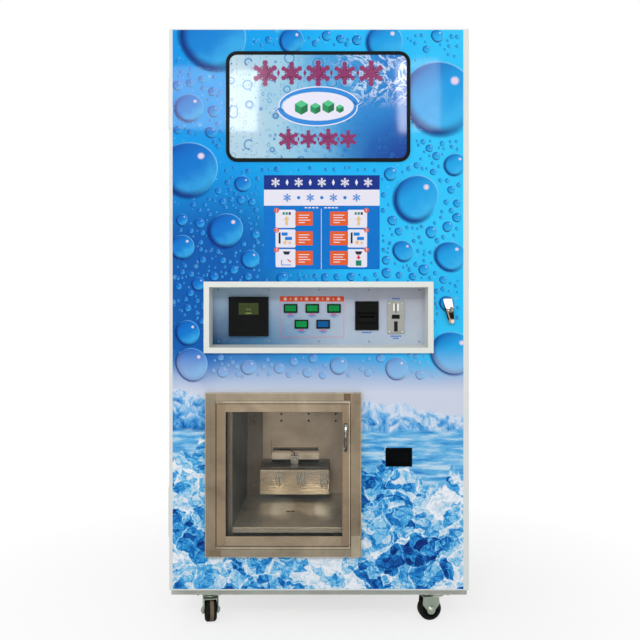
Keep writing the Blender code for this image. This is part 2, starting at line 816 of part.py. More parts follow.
# Lit sign: rubber trim through the door skin, the acrylic in it, the light box behind
def build_sign(skin):
    centre_z = SIGN_BOTTOM + SIGN_HEIGHT / 2

    def slab(name, inset, front, back, material=None):
        outline = rounded_outline(
            SIGN_WIDTH - 2 * inset, SIGN_HEIGHT - 2 * inset, SIGN_CORNER - inset, SIGN_STEPS,
        )
        return profile(name, outline, back - front, material, (SIGN_X, (front + back) / 2, centre_z), UPRIGHT)

    neck = SIGN_TRIM - SIGN_NECK
    trim = slab("sign_trim", 0, FRONT - SIGN_PROUD, FRONT - GAP, RUBBER)
    join(trim, slab("sign_trim_neck", neck, FRONT - SIGN_PROUD / 2, FRONT + SHEET + GAP))
    cut(trim, slab("sign_trim_hole", SIGN_TRIM, FRONT - SIGN_PROUD - OVERRUN, FRONT + SHEET + OVERRUN))
    cut(skin, slab("sign_opening", neck - GAP, FRONT - OVERRUN, FRONT + SHEET + OVERRUN))
    sink = FRONT - SIGN_PROUD + SIGN_SINK
    slab("sign_panel", SIGN_TRIM + GAP, sink, sink + SIGN_PANEL, ACRYLIC)

    half_width, half_height = SIGN_WIDTH / 2 + SIGN_NECK, SIGN_HEIGHT / 2 + SIGN_NECK
    front = FRONT + SHEET + 2 * GAP
    back = front + SIGN_BOX_DEPTH
    shell = box(
        "sign_box",
        (SIGN_X - half_width, front, centre_z - half_height),
        (SIGN_X + half_width, back, centre_z + half_height),
        WHITE,
    )
    cut(shell, box(
        "sign_box_hollow",
        (SIGN_X - half_width + SHEET, front + SHEET, centre_z - half_height + SHEET),
        (SIGN_X + half_width - SHEET, back - SHEET, centre_z + half_height - SHEET),
    ))
    lip = SIGN_BOX_FLANGE + SHEET
    cut(shell, box(
        "sign_box_mouth",
        (SIGN_X - half_width + lip, front - OVERRUN, centre_z - half_height + lip),
        (SIGN_X + half_width - lip, front + SHEET + OVERRUN, centre_z + half_height - lip),
    ))


# Control recess: white frame and tunnel in one folded piece, the fascia plate at its back
def build_recess():
    half_width = BEZEL_WIDTH / 2
    low_z, high_z = BEZEL_BOTTOM, BEZEL_BOTTOM + BEZEL_HEIGHT
    bezel = box(
        "control_bezel",
        (BEZEL_X - half_width, FRONT - BEZEL_PROUD, low_z),
        (BEZEL_X + half_width, FRONT - GAP, high_z),
        WHITE,
    )
    inset = BEZEL_FACE - SHEET
    join(bezel, box(
        "recess_tunnel",
        (BEZEL_X - half_width + inset, FRONT - BEZEL_PROUD / 2, low_z + inset),
        (BEZEL_X + half_width - inset, FASCIA - GAP, high_z - inset),
    ))
    mouth, back = FRONT - BEZEL_PROUD - OVERRUN, FASCIA + OVERRUN
    sill = low_z + BEZEL_FACE
    outline = [
        (mouth, high_z - BEZEL_FACE),
        (mouth, sill),
        (FRONT, sill),
        (back, sill + BEZEL_SILL_RISE),
        (back, high_z - BEZEL_FACE),
    ]
    across = Matrix.Rotation(math.radians(90), 4, "Z") @ UPRIGHT
    cut(bezel, profile(
        "recess_space", outline, BEZEL_WIDTH - 2 * BEZEL_FACE, None, (BEZEL_X, 0, 0), across,
    ))

    tunnel_half = half_width - inset
    plate = box(
        "control_plate",
        (BEZEL_X - tunnel_half, FASCIA, low_z + inset),
        (BEZEL_X + tunnel_half, FASCIA + SHEET, high_z - inset),
        FASCIA_PRINT,
    )
    holes = []
    bodies = [
        (READER_X, READER_Z, READER_WIDTH, READER_HEIGHT, READER_BODY_MARGIN),
        (BILL_X, BILL_Z, BILL_WIDTH, BILL_HEIGHT, BILL_BODY_MARGIN),
        (COIN_X, COIN_Z, COIN_WIDTH, COIN_HEIGHT, COIN_BODY_MARGIN),
    ]
    for x, z in button_places():
        bodies.append((x, z, BUTTON_WIDTH, BUTTON_HEIGHT, BUTTON_NECK_MARGIN))
    for x, z, width, height, margin in bodies:
        half_x, half_z = width / 2 - margin + GAP, height / 2 - margin + GAP
        holes.append((
            (x - half_x, FASCIA - OVERRUN, z - half_z),
            (x + half_x, FASCIA + SHEET + OVERRUN, z + half_z),
        ))
    cut(plate, boxes("fascia_holes", holes))


def button_places():
    return [
        (BUTTON_GROUP_X + across * BUTTON_PITCH, BUTTON_TOP_Z - down * BUTTON_ROW_DROP)
        for across, down in BUTTON_PLACE_SHARES
    ]


def fascia_device(name, x, z, width, height, proud, margin, depth, edge, material):
    """A device with its flange on the fascia and its body through it."""
    flange_back = FASCIA - GAP
    made = box(
        name,
        (x - width / 2, FASCIA - proud, z - height / 2),
        (x + width / 2, flange_back, z + height / 2),
        material, edge=edge, edge_axis=1,
    )
    half_x, half_z = width / 2 - margin, height / 2 - margin
    return join(made, box(
        name + "_body",
        (x - half_x, flange_back - GAP, z - half_z),
        (x + half_x, FASCIA + depth, z + half_z),
    ))


def build_reader():
    reader = fascia_device(
        "card_reader", READER_X, READER_Z, READER_WIDTH, READER_HEIGHT, READER_PROUD,
        READER_BODY_MARGIN, READER_BODY_DEPTH, READER_EDGE, BLACK,
    )
    front = FASCIA - READER_PROUD
    z = READER_Z + LENS_RISE
    cut(reader, box(
        "lens_pocket",
        (READER_X - LENS_WIDTH / 2 - GAP, front - OVERRUN, z - LENS_HEIGHT / 2 - GAP),
        (
            READER_X + LENS_WIDTH / 2 + GAP,
            front + LENS_SINK + LENS_THICKNESS + GAP,
            z + LENS_HEIGHT / 2 + GAP,
        ),
    ))
    box(
        "display_lens",
        (READER_X - LENS_WIDTH / 2, front + LENS_SINK, z - LENS_HEIGHT / 2),
        (READER_X + LENS_WIDTH / 2, front + LENS_SINK + LENS_THICKNESS, z + LENS_HEIGHT / 2),
        LCD,
    )


def build_buttons():
    for index, (x, z) in enumerate(button_places()):
        number = index + 1
        bezel = fascia_device(
            f"button_bezel_{number}", x, z, BUTTON_WIDTH, BUTTON_HEIGHT, BUTTON_PROUD,
            BUTTON_NECK_MARGIN, BUTTON_NECK_DEPTH, BUTTON_EDGE, BLACK,
        )
        half_x, half_z = BUTTON_WIDTH / 2 - BUTTON_RIM, BUTTON_HEIGHT / 2 - BUTTON_RIM
        front = FASCIA - BUTTON_PROUD
        cut(bezel, box(
            f"button_pocket_{number}",
            (x - half_x, front - OVERRUN, z - half_z),
            (x + half_x, front + BUTTON_POCKET, z + half_z),
        ))
        cap_x, cap_z = half_x - BUTTON_PLAY, half_z - BUTTON_PLAY
        cap_front = front - BUTTON_CAP_PROUD
        box(
            f"button_cap_{number}",
            (x - cap_x, cap_front, z - cap_z),
            (x + cap_x, cap_front + BUTTON_CAP, z + cap_z),
            BLUE if number == len(BUTTON_PLACE_SHARES) else GREEN,
            edge=BUTTON_EDGE,
        )


def build_bill_acceptor():
    acceptor = fascia_device(
        "bill_acceptor", BILL_X, BILL_Z, BILL_WIDTH, BILL_HEIGHT, BILL_PROUD,
        BILL_BODY_MARGIN, BILL_BODY_DEPTH, BILL_EDGE, BLACK,
    )
    half = BILL_WIDTH / 2 - BILL_SNOUT_MARGIN
    snout_z = BILL_Z - BILL_SNOUT_DROP
    snout_front = FASCIA - BILL_PROUD - BILL_SNOUT
    outline = [
        (FASCIA - BILL_PROUD / 2, snout_z + BILL_SNOUT_HEIGHT / 2),
        (snout_front + BILL_SNOUT / 3, snout_z + BILL_SNOUT_HEIGHT / 3),
        (snout_front, snout_z + BILL_SLOT),
        (snout_front, snout_z - BILL_SNOUT_HEIGHT / 2),
        (FASCIA - BILL_PROUD / 2, snout_z - BILL_SNOUT_HEIGHT / 2),
    ]
    across = Matrix.Rotation(math.radians(90), 4, "Z") @ UPRIGHT
    join(acceptor, profile("bill_snout", outline, 2 * half, None, (BILL_X, 0, 0), across))
    slot_half = half - BILL_SLOT_MARGIN
    cut(acceptor, box(
        "bill_slot",
        (BILL_X - slot_half, snout_front - OVERRUN, snout_z - BILL_SLOT / 2),
        (BILL_X + slot_half, snout_front + BILL_SLOT_DEPTH, snout_z + BILL_SLOT / 2),
    ))


def build_coin_acceptor():
    acceptor = fascia_device(
        "coin_acceptor", COIN_X, COIN_Z, COIN_WIDTH, COIN_HEIGHT, COIN_PROUD,
        COIN_BODY_MARGIN, COIN_BODY_DEPTH, COIN_EDGE, STAINLESS,
    )
    front = FASCIA - COIN_PROUD
    return_z = COIN_Z - RETURN_DROP
    pockets = [
        (COIN_SLOT_WIDTH, COIN_SLOT_HEIGHT, COIN_SLOT_RISE, COIN_SLOT_DEPTH),
        (COIN_WINDOW_WIDTH, COIN_WINDOW_HEIGHT, COIN_WINDOW_RISE, COIN_WINDOW_DEPTH),
        (RETURN_WIDTH, RETURN_HEIGHT, -RETURN_DROP, RETURN_POCKET),
    ]
    cut(acceptor, boxes("coin_pockets", [
        (
            (COIN_X - width / 2, front - OVERRUN, COIN_Z + rise - height / 2),
            (COIN_X + width / 2, front + depth, COIN_Z + rise + height / 2),
        )
        for width, height, rise, depth in pockets
    ]))
    half_x, half_z = RETURN_WIDTH / 2 - RETURN_PLAY, RETURN_HEIGHT / 2 - RETURN_PLAY
    box(
        "coin_return_button",
        (COIN_X - half_x, front - RETURN_PROUD, return_z - half_z),
        (COIN_X + half_x, front - RETURN_PROUD + RETURN_LENGTH, return_z + half_z),
        BLACK, edge=COIN_EDGE,
    )


def tube(name, points, radius, material=None, origin=(0, 0, 0)):
    """A round tube along points: a bevelled curve made a mesh, its caps welded."""
    curve = bpy.data.curves.new(name, "CURVE")
    curve.dimensions = "3D"
    curve.bevel_depth = radius
    curve.bevel_resolution = 2
    curve.use_fill_caps = True
    line = curve.splines.new("POLY")
    line.points.add(len(points) - 1)
    for point, place_of in zip(line.points, points):
        point.co = (*place_of, 1)
    route = bpy.data.objects.new(name + "_route", curve)
    CUTTERS.objects.link(route)
    bpy.context.view_layer.update()
    mesh = bpy.data.meshes.new_from_object(route.evaluated_get(bpy.context.evaluated_depsgraph_get()))
    mesh.name = name
    bm = bmesh.new()
    bm.from_mesh(mesh)
    bmesh.ops.remove_doubles(bm, verts=bm.verts, dist=GAP / 30)
    bmesh.ops.recalc_face_normals(bm, faces=bm.faces)
    bm.to_mesh(mesh)
    bm.free()
    mesh.materials.clear()
    bpy.data.objects.remove(route, do_unlink=True)
    mesh.shade_smooth()
    return place(mesh, name, material, origin, cutter=material is None)


# Ice hatch: stainless frame through the door skin, glazed leaf on two pivot pins, bow handle
def build_hatch():
    left, right = HATCH_X - HATCH_WIDTH / 2, HATCH_X + HATCH_WIDTH / 2
    bottom, top = HATCH_BOTTOM, HATCH_BOTTOM + HATCH_HEIGHT
    leaf_back = HATCH_FRONT + LEAF_THICKNESS
    stop_front = leaf_back + LEAF_STOP_GAP
    neck_back = stop_front + 2 * SHEET
    frame = box("hatch_frame", (left, HATCH_FRONT, bottom), (right, FRONT - GAP, top), STAINLESS)
    inset = HATCH_BAND - HATCH_NECK_BAND
    join(frame, box(
        "hatch_neck",
        (left + inset, FRONT - HATCH_PROUD / 2, bottom + inset),
        (right - inset, neck_back, top - inset),
    ))
    cut(frame, box(
        "leaf_pocket",
        (left + HATCH_BAND, HATCH_FRONT - OVERRUN, bottom + HATCH_BAND),
        (right - HATCH_BAND, stop_front, top - HATCH_BAND),
    ))
    stop = HATCH_BAND + HATCH_STOP
    cut(frame, box(
        "hatch_way",
        (left + stop, stop_front - OVERRUN, bottom + stop),
        (right - stop, neck_back + OVERRUN, top - stop),
    ))

    edge = HATCH_BAND + LEAF_GAP
    low = (left + edge, HATCH_FRONT, bottom + edge)
    high = (right - edge, leaf_back, top - edge)
    axis_x, axis_y = low[0] + LEAF_PIVOT_INSET, HATCH_FRONT + LEAF_PIVOT_INSET
    leaf = box("hatch_leaf", low, high, STAINLESS, origin=(axis_x, axis_y, low[2]))
    cut(leaf, box(
        "leaf_opening",
        (low[0] + STILE_LEFT, HATCH_FRONT - OVERRUN, low[2] + RAIL_BOTTOM),
        (high[0] - STILE_RIGHT, leaf_back + OVERRUN, high[2] - RAIL_TOP),
    ))
    glass_low = (low[0] + STILE_LEFT - GLASS_LAP, HATCH_FRONT + GLASS_LIP, low[2] + RAIL_BOTTOM - GLASS_LAP)
    glass_high = (high[0] - STILE_RIGHT + GLASS_LAP, leaf_back + OVERRUN, high[2] - RAIL_TOP + GLASS_LAP)
    cut(leaf, box("glass_pocket", glass_low, glass_high))
    box(
        "hatch_glass",
        tuple(value + GAP for value in glass_low),
        (glass_high[0] - GAP, glass_low[1] + GAP + GLASS_THICKNESS, glass_high[2] - GAP),
        GLASS,
        origin=(axis_x, axis_y, low[2]),
    )
    for label, face, way in (("lower", low[2], -1), ("upper", high[2], 1)):
        join(leaf, rod(
            f"leaf_pin_{label}",
            (axis_x, axis_y, face - way * LEAF_PIN_LENGTH),
            (axis_x, axis_y, face + way * LEAF_PIN_LENGTH),
            LEAF_PIN, sides=16,
        ))
        cut(frame, rod(
            f"leaf_socket_{label}",
            (axis_x, axis_y, face),
            (axis_x, axis_y, face + way * (LEAF_PIN_LENGTH + 2 * GAP)),
            LEAF_PIN + LEAF_PIN_PLAY, sides=16,
        ))

    x = high[0] - HANDLE_INSET
    middle = HANDLE_TOP - HANDLE_LENGTH / 2
    half = HANDLE_LENGTH / 2 - HANDLE_FOOT
    start = HATCH_FRONT - HANDLE_FOOT_DEPTH / 2
    swell = HANDLE_REACH - HANDLE_FOOT_DEPTH / 2 - HANDLE_RADIUS
    bow = []
    for step in range(HANDLE_STEPS + 1):
        angle = math.pi * step / HANDLE_STEPS
        out = math.sqrt(abs(math.sin(angle))) if 0 < step < HANDLE_STEPS else 0.0
        bow.append((x, start - swell * out, middle + half * math.cos(angle)))
    handle = tube("hatch_handle", bow, HANDLE_RADIUS, CHROME)
    for label, z in (("top", middle + half), ("bottom", middle - half)):
        join(handle, rod(
            f"handle_foot_{label}",
            (x, HATCH_FRONT - GAP, z),
            (x, HATCH_FRONT - HANDLE_FOOT_DEPTH, z),
            HANDLE_FOOT,
        ))


def build_window():
    half_x = WINDOW_WIDTH / 2
    low_z, high_z = WINDOW_BOTTOM, WINDOW_BOTTOM + WINDOW_HEIGHT
    window = box(
        "window_insert",
        (WINDOW_X - half_x, FRONT - WINDOW_PROUD, low_z),
        (WINDOW_X + half_x, FRONT - GAP, high_z),
        BLACK, edge=WINDOW_PROUD / 2, edge_axis=1,
    )
    margin = WINDOW_BODY_MARGIN
    join(window, box(
        "window_body",
        (WINDOW_X - half_x + margin, FRONT - WINDOW_PROUD / 2, low_z + margin),
        (WINDOW_X + half_x - margin, FRONT + WINDOW_BODY_DEPTH, high_z - margin),
    ))
    rim = WINDOW_RIM + margin
    cut(window, box(
        "window_pocket",
        (WINDOW_X - half_x + rim, FRONT - WINDOW_PROUD - OVERRUN, low_z + rim),
        (WINDOW_X + half_x - rim, FRONT + WINDOW_SINK, high_z - rim),
    ))


# Handle lock: rose on the door, tilted handle on its shaft, cam behind the jamb
def build_lock():
    def at(y, z=LOCK_Z):
        return (LOCK_X, y, z)

    rose = rod("lock_rose", at(FRONT - LOCK_ROSE_PROUD), at(FRONT - GAP), LOCK_ROSE, CHROME)
    join(rose, rod(
        "lock_barrel", at(FRONT - LOCK_ROSE_PROUD / 2), at(FRONT + LOCK_BARREL_DEPTH), LOCK_BARREL,
    ))
    cut(rose, rod(
        "lock_bore", at(FRONT - LOCK_ROSE_PROUD - OVERRUN), at(FRONT + LOCK_BARREL_DEPTH + OVERRUN),
        LOCK_SHAFT + LOCK_PLAY,
    ))

    handle_back = FRONT - LOCK_ROSE_PROUD - GAP
    handle_front = handle_back - LOCK_HANDLE_THICKNESS
    wide, waist = LOCK_HANDLE_WIDTH / 2, LOCK_HANDLE_WAIST / 2
    chamfer = LOCK_HANDLE_EDGE
    outline = [
        (wide, LOCK_HANDLE_UP - chamfer),
        (wide - chamfer, LOCK_HANDLE_UP),
        (-wide + chamfer, LOCK_HANDLE_UP),
        (-wide, LOCK_HANDLE_UP - chamfer),
        (-wide, -LOCK_HANDLE_UP),
        (-waist, -LOCK_HANDLE_DOWN + 2 * chamfer),
        (-waist + 2 * chamfer, -LOCK_HANDLE_DOWN),
        (waist - 2 * chamfer, -LOCK_HANDLE_DOWN),
        (waist, -LOCK_HANDLE_DOWN + 2 * chamfer),
        (wide, -LOCK_HANDLE_UP),
    ]
    tilt = UPRIGHT @ Matrix.Rotation(LOCK_TILT, 4, "Z")
    middle = at((handle_front + handle_back) / 2)
    handle = profile("lock_handle", outline, LOCK_HANDLE_THICKNESS, CHROME, middle, tilt)
    cam_front = BODY_FRONT + JAMB_DEPTH + LOCK_CAM_BEHIND_JAMB
    cam_back = cam_front + LOCK_CAM_THICKNESS
    join(handle, rod("lock_shaft", at(handle_back - chamfer), at(cam_back + chamfer), LOCK_SHAFT))
    half = LOCK_CAM_WIDTH / 2
    cam = box(
        "lock_cam",
        (LOCK_X - half, cam_front, LOCK_Z - LOCK_CAM_LENGTH),
        (LOCK_X + half, cam_back, LOCK_Z + half),
        ZINC, origin=at(cam_front), edge=LOCK_CAM_WIDTH / 3, edge_axis=1,
    )
    cut(cam, rod("cam_bore", at(cam_front - OVERRUN), at(cam_back + OVERRUN), LOCK_SHAFT + GAP))


# Filling compartment behind the hatch, on skirts that stand on the base
def build_compartment():
    shell = box(
        "compartment_box",
        (COMP_LEFT - SHEET, COMP_FRONT, INSIDE_BOTTOM),
        (COMP_RIGHT + SHEET, COMP_BACK + SHEET, COMP_CEILING + SHEET),
        STAINLESS,
    )
    join(shell, frame_ring(
        "comp_flange",
        (COMP_LEFT - COMP_FLANGE, COMP_FRONT, COMP_FLOOR - COMP_FLANGE),
        (COMP_RIGHT + COMP_FLANGE, COMP_FRONT + SHEET, COMP_CEILING + COMP_FLANGE),
        (COMP_FLANGE - SHEET / 2,) * 4,
    ))
    cut(shell, boxes("comp_space", [
        ((COMP_LEFT, COMP_FRONT - OVERRUN, COMP_FLOOR), (COMP_RIGHT, COMP_BACK, COMP_CEILING)),
        (
            (COMP_LEFT, COMP_FRONT - OVERRUN, INSIDE_BOTTOM - OVERRUN),
            (COMP_RIGHT, COMP_BACK + SHEET + OVERRUN, COMP_FLOOR - SHEET),
        ),
    ]))
    cut(shell, box(
        "jamb_relief",
        (COMP_LEFT - SHEET - OVERRUN, COMP_FRONT - OVERRUN, INSIDE_BOTTOM - OVERRUN),
        (COMP_RIGHT + SHEET + OVERRUN, BODY_FRONT + JAMB_DEPTH + GAP, INSIDE_BOTTOM + JAMB_WIDTH + GAP),
    ))
    hood_half = HOOD_WIDTH / 2
    cut(shell, box(
        "comp_outlet",
        (HOOD_X - hood_half + HOOD_LAP, COMP_BACK - OVERRUN, HOOD_BOTTOM),
        (HOOD_X + hood_half - HOOD_LAP, COMP_BACK + SHEET + OVERRUN, HOOD_TOP - HOOD_LAP),
    ))

    low = (COMP_LEFT + GAP, COMP_FRONT + SHELF_SETBACK, COMP_FLOOR + GAP)
    high = (COMP_RIGHT - GAP, COMP_BACK - GAP, SHELF_TOP)
    shelf = box("compartment_shelf", low, high, STAINLESS)
    cut(shelf, box(
        "shelf_hollow",
        (low[0] + SHEET, low[1] + SHEET, low[2] - OVERRUN),
        (high[0] - SHEET, high[1] - SHEET, high[2] - SHEET),
    ))
    drains = []
    for share in DRAIN_SHARES:
        x = DRAIN_X + share * DRAIN_PITCH
        drains.append((
            (x - DRAIN_LENGTH / 2, DRAIN_Y, SHELF_TOP - SHEET - OVERRUN),
            (x + DRAIN_LENGTH / 2, DRAIN_Y + DRAIN_WIDTH, SHELF_TOP + OVERRUN),
        ))
    cut(shelf, boxes("shelf_drains", drains))

    panel = box(
        "chute_panel",
        (CHUTE_LEFT, CHUTE_FRONT, SHELF_TOP + GAP),
        (COMP_RIGHT - GAP, CHUTE_FRONT + SHEET, COMP_CEILING - GAP),
        STAINLESS,
    )
    cut(panel, box(
        "chute_notch",
        (CHUTE_LEFT - OVERRUN, CHUTE_FRONT - OVERRUN, SHELF_TOP - OVERRUN),
        (NOTCH_RIGHT, CHUTE_FRONT + SHEET + OVERRUN, NOTCH_TOP),
    ))
    slot_top = SLOT_BOTTOM + SLOT_HEIGHT
    join(panel, box(
        "slot_lip",
        (SLOT_LEFT, CHUTE_FRONT - LIP_PROUD, SLOT_BOTTOM - LIP_HEIGHT),
        (SLOT_LEFT + SLOT_LENGTH, CHUTE_FRONT + SHEET / 2, SLOT_BOTTOM),
    ))
    cut(panel, box(
        "chute_slot",
        (SLOT_LEFT + LIP_PROUD, CHUTE_FRONT - LIP_PROUD - OVERRUN, SLOT_BOTTOM + GAP),
        (SLOT_LEFT + SLOT_LENGTH - LIP_PROUD, CHUTE_FRONT + SHEET + OVERRUN, slot_top),
    ))
    for index, x in enumerate(BOLT_COLUMNS):
        for row, z in enumerate(BOLT_ROWS):
            join(panel, rod(
                f"chute_bolt_{index + 1}_{row + 1}",
                (x, CHUTE_FRONT - BOLT_HEAD, z),
                (x, CHUTE_FRONT + SHEET / 2, z),
                BOLT_RADIUS, sides=6,
            ))

    across = Matrix.Rotation(math.radians(90), 4, "Z") @ UPRIGHT

    def hood_outline(inset, back):
        front, top = HOOD_FRONT + inset, HOOD_TOP - inset
        bend = HOOD_BEND - inset
        arc = []
        for step in range(HOOD_STEPS + 1):
            angle = math.radians(90) * step / HOOD_STEPS
            arc.append((front + bend - bend * math.sin(angle), top - bend + bend * math.cos(angle)))
        bottom = HOOD_BOTTOM - (OVERRUN if inset else 0)
        return [(back, top), *arc, (front, bottom), (back, bottom)]

    back = COMP_BACK - GAP
    hood = profile("chute_hood", hood_outline(0, back), HOOD_WIDTH, STAINLESS, (HOOD_X, 0, 0), across)
    cut(hood, profile(
        "hood_space", hood_outline(SHEET, back + OVERRUN), HOOD_WIDTH - 2 * SHEET, None,
        (HOOD_X, 0, 0), across,
    ))

    tab_back = CHUTE_FRONT - LIP_PROUD - GAP
    sensor = box(
        "bag_sensor",
        (SENSOR_X - SENSOR_WIDTH / 2, tab_back - SENSOR_THICKNESS, SENSOR_BOTTOM),
        (SENSOR_X + SENSOR_WIDTH / 2, tab_back, SENSOR_BOTTOM + SENSOR_HEIGHT),
        BLACK,
    )
    slot_z = SLOT_BOTTOM + SLOT_HEIGHT / 2
    cable_y = tab_back - SENSOR_THICKNESS / 2
    start_z = SENSOR_BOTTOM + SENSOR_HEIGHT - SENSOR_CABLE
    entry_x = SLOT_LEFT + SLOT_LENGTH / 6
    cable = [
        (SENSOR_X, cable_y, start_z),
        (SENSOR_X, cable_y, (start_z + slot_z) / 2),
        ((2 * SENSOR_X + entry_x) / 3, cable_y - SENSOR_CABLE, slot_z - SENSOR_CABLE),
        ((SENSOR_X + 2 * entry_x) / 3, cable_y - SENSOR_CABLE, slot_z),
        (entry_x, cable_y, slot_z),
        (entry_x - SENSOR_CABLE, CHUTE_FRONT, slot_z),
        (entry_x - SENSOR_CABLE, CHUTE_FRONT + LIP_PROUD + SHEET, slot_z),
    ]
    join(sensor, tube("sensor_cable", cable, SENSOR_CABLE))


# Ice bin with its trough, drop neck and legs
def build_bin():
    bin_back = BACK - PAN_DEPTH - BIN_CLEAR
    made = box("ice_bin", (-BIN_HALF, BIN_FRONT, BIN_BOTTOM), (BIN_HALF, bin_back, BIN_TOP), FOAM)
    axis_z = BIN_BOTTOM + BIN_WALL + TROUGH_RADIUS
    neck_half = NECK_WIDTH / 2
    neck_back = BIN_FRONT + NECK_DEPTH
    join(made, box(
        "bin_neck",
        (HOOD_X - neck_half, BIN_FRONT, NECK_BOTTOM),
        (HOOD_X + neck_half, neck_back, BIN_BOTTOM + BIN_WALL / 2),
    ))
    for side in (-1, 1):
        outer, inner = side * BIN_HALF, side * (BIN_HALF - LEG_SIZE)
        for y in (BIN_FRONT, bin_back - LEG_SIZE):
            join(made, box(
                "bin_leg",
                (min(outer, inner), y, INSIDE_BOTTOM),
                (max(outer, inner), y + LEG_SIZE, BIN_BOTTOM + BIN_WALL / 2),
            ))
    inner = BIN_HALF - BIN_WALL
    outline = [
        (inner, BIN_TOP + OVERRUN),
        (-inner, BIN_TOP + OVERRUN),
        (-inner, BIN_BOTTOM + BIN_SLOPE),
    ]
    for step in range(TROUGH_STEPS + 1):
        angle = math.pi * (1 + step / TROUGH_STEPS)
        outline.append((HOOD_X + TROUGH_RADIUS * math.cos(angle), axis_z + TROUGH_RADIUS * math.sin(angle)))
    outline.append((inner, BIN_BOTTOM + BIN_SLOPE))
    length = bin_back - BIN_FRONT - 2 * BIN_WALL
    cut(made, profile(
        "bin_space", outline, length, None, (0, (BIN_FRONT + bin_back) / 2, 0), UPRIGHT,
    ))
    across = Matrix.Rotation(math.radians(90), 4, "Z") @ UPRIGHT
    front, back = BIN_FRONT + NECK_WALL, neck_back - NECK_WALL
    foot = NECK_BOTTOM + NECK_WALL
    drop = [
        (back, BIN_BOTTOM + BIN_WALL + OVERRUN),
        (back, foot + NECK_RAMP),
        (front, foot),
        (BIN_FRONT - OVERRUN, foot),
        (BIN_FRONT - OVERRUN, NECK_MOUTH_TOP),
        (front, NECK_MOUTH_TOP),
        (front, BIN_BOTTOM - OVERRUN),
        (BIN_FRONT + BIN_WALL, BIN_BOTTOM),
        (BIN_FRONT + BIN_WALL, BIN_BOTTOM + BIN_WALL + OVERRUN),
    ]
    cut(made, profile("neck_space", drop, NECK_WIDTH - 2 * NECK_WALL, None, (HOOD_X, 0, 0), across))
    cut(made, rod(
        "auger_bores",
        (HOOD_X, BIN_FRONT - OVERRUN, axis_z),
        (HOOD_X, bin_back - BIN_WALL / 2, axis_z),
        AUGER_SHAFT + AUGER_PLAY,
    ))

    shaft_front, shaft_back = BIN_FRONT - AUGER_STUB, bin_back - BIN_WALL / 2 - GAP
    auger = rod(
        "auger", (HOOD_X, shaft_front, axis_z), (HOOD_X, shaft_back, axis_z), AUGER_SHAFT, STAINLESS,
    )
    join(auger, auger_flight(BIN_FRONT + BIN_WALL + AUGER_END, length - 2 * AUGER_END, axis_z))

    gear_half = GEARBOX_SIZE / 2
    gear_front = BIN_FRONT - GAP - GEARBOX_DEPTH
    gearmotor = box(
        "auger_gearmotor",
        (HOOD_X - gear_half, gear_front, axis_z - gear_half),
        (HOOD_X + gear_half, BIN_FRONT - GAP, axis_z + gear_half),
        ZINC, edge=GEARBOX_EDGE, edge_axis=1,
    )
    join(gearmotor, rod(
        "motor_can",
        (HOOD_X, gear_front + GEARBOX_EDGE, axis_z),
        (HOOD_X, gear_front - MOTOR_LENGTH, axis_z),
        MOTOR_RADIUS,
    ))
    cut(gearmotor, rod(
        "gearbox_bore",
        (HOOD_X, shaft_front - GAP, axis_z),
        (HOOD_X, BIN_FRONT + OVERRUN, axis_z),
        AUGER_SHAFT + AUGER_PLAY,
    ))

    maker_low = (-BIN_HALF + MAKER_INSET, BIN_FRONT + MAKER_INSET, BIN_TOP + GAP)
    maker_high = (BIN_HALF - MAKER_INSET, bin_back - MAKER_INSET, BIN_TOP + MAKER_HEIGHT)
    maker = box("ice_maker", maker_low, maker_high, STAINLESS)
    cut(maker, box(
        "maker_space",
        (maker_low[0] + SHEET, maker_low[1] + SHEET, maker_low[2] - OVERRUN),
        (maker_high[0] - SHEET, maker_high[1] - SHEET, maker_high[2] - SHEET),
    ))
    grille = []
    for step in range(GRILLE_COUNT):
        z = maker_low[2] + GRILLE_BOTTOM + step * GRILLE_PITCH
        grille.append((
            (GRILLE_LEFT, maker_low[1] - OVERRUN, z),
            (GRILLE_LEFT + GRILLE_WIDTH, maker_low[1] + SHEET + OVERRUN, z + GRILLE_SLOT),
        ))
    cut(maker, boxes("maker_grille", grille))
    middle_y = (maker_low[1] + maker_high[1]) / 2
    for step in range(EVAPORATOR_COUNT):
        x = (step - (EVAPORATOR_COUNT - 1) / 2) * EVAPORATOR_PITCH
        join(maker, box(
            f"evaporator_{step + 1}",
            (
                x - EVAPORATOR_THICKNESS / 2,
                middle_y - EVAPORATOR_DEPTH / 2,
                maker_high[2] - EVAPORATOR_HEIGHT,
            ),
            (x + EVAPORATOR_THICKNESS / 2, middle_y + EVAPORATOR_DEPTH / 2, maker_high[2] - SHEET / 2),
        ))


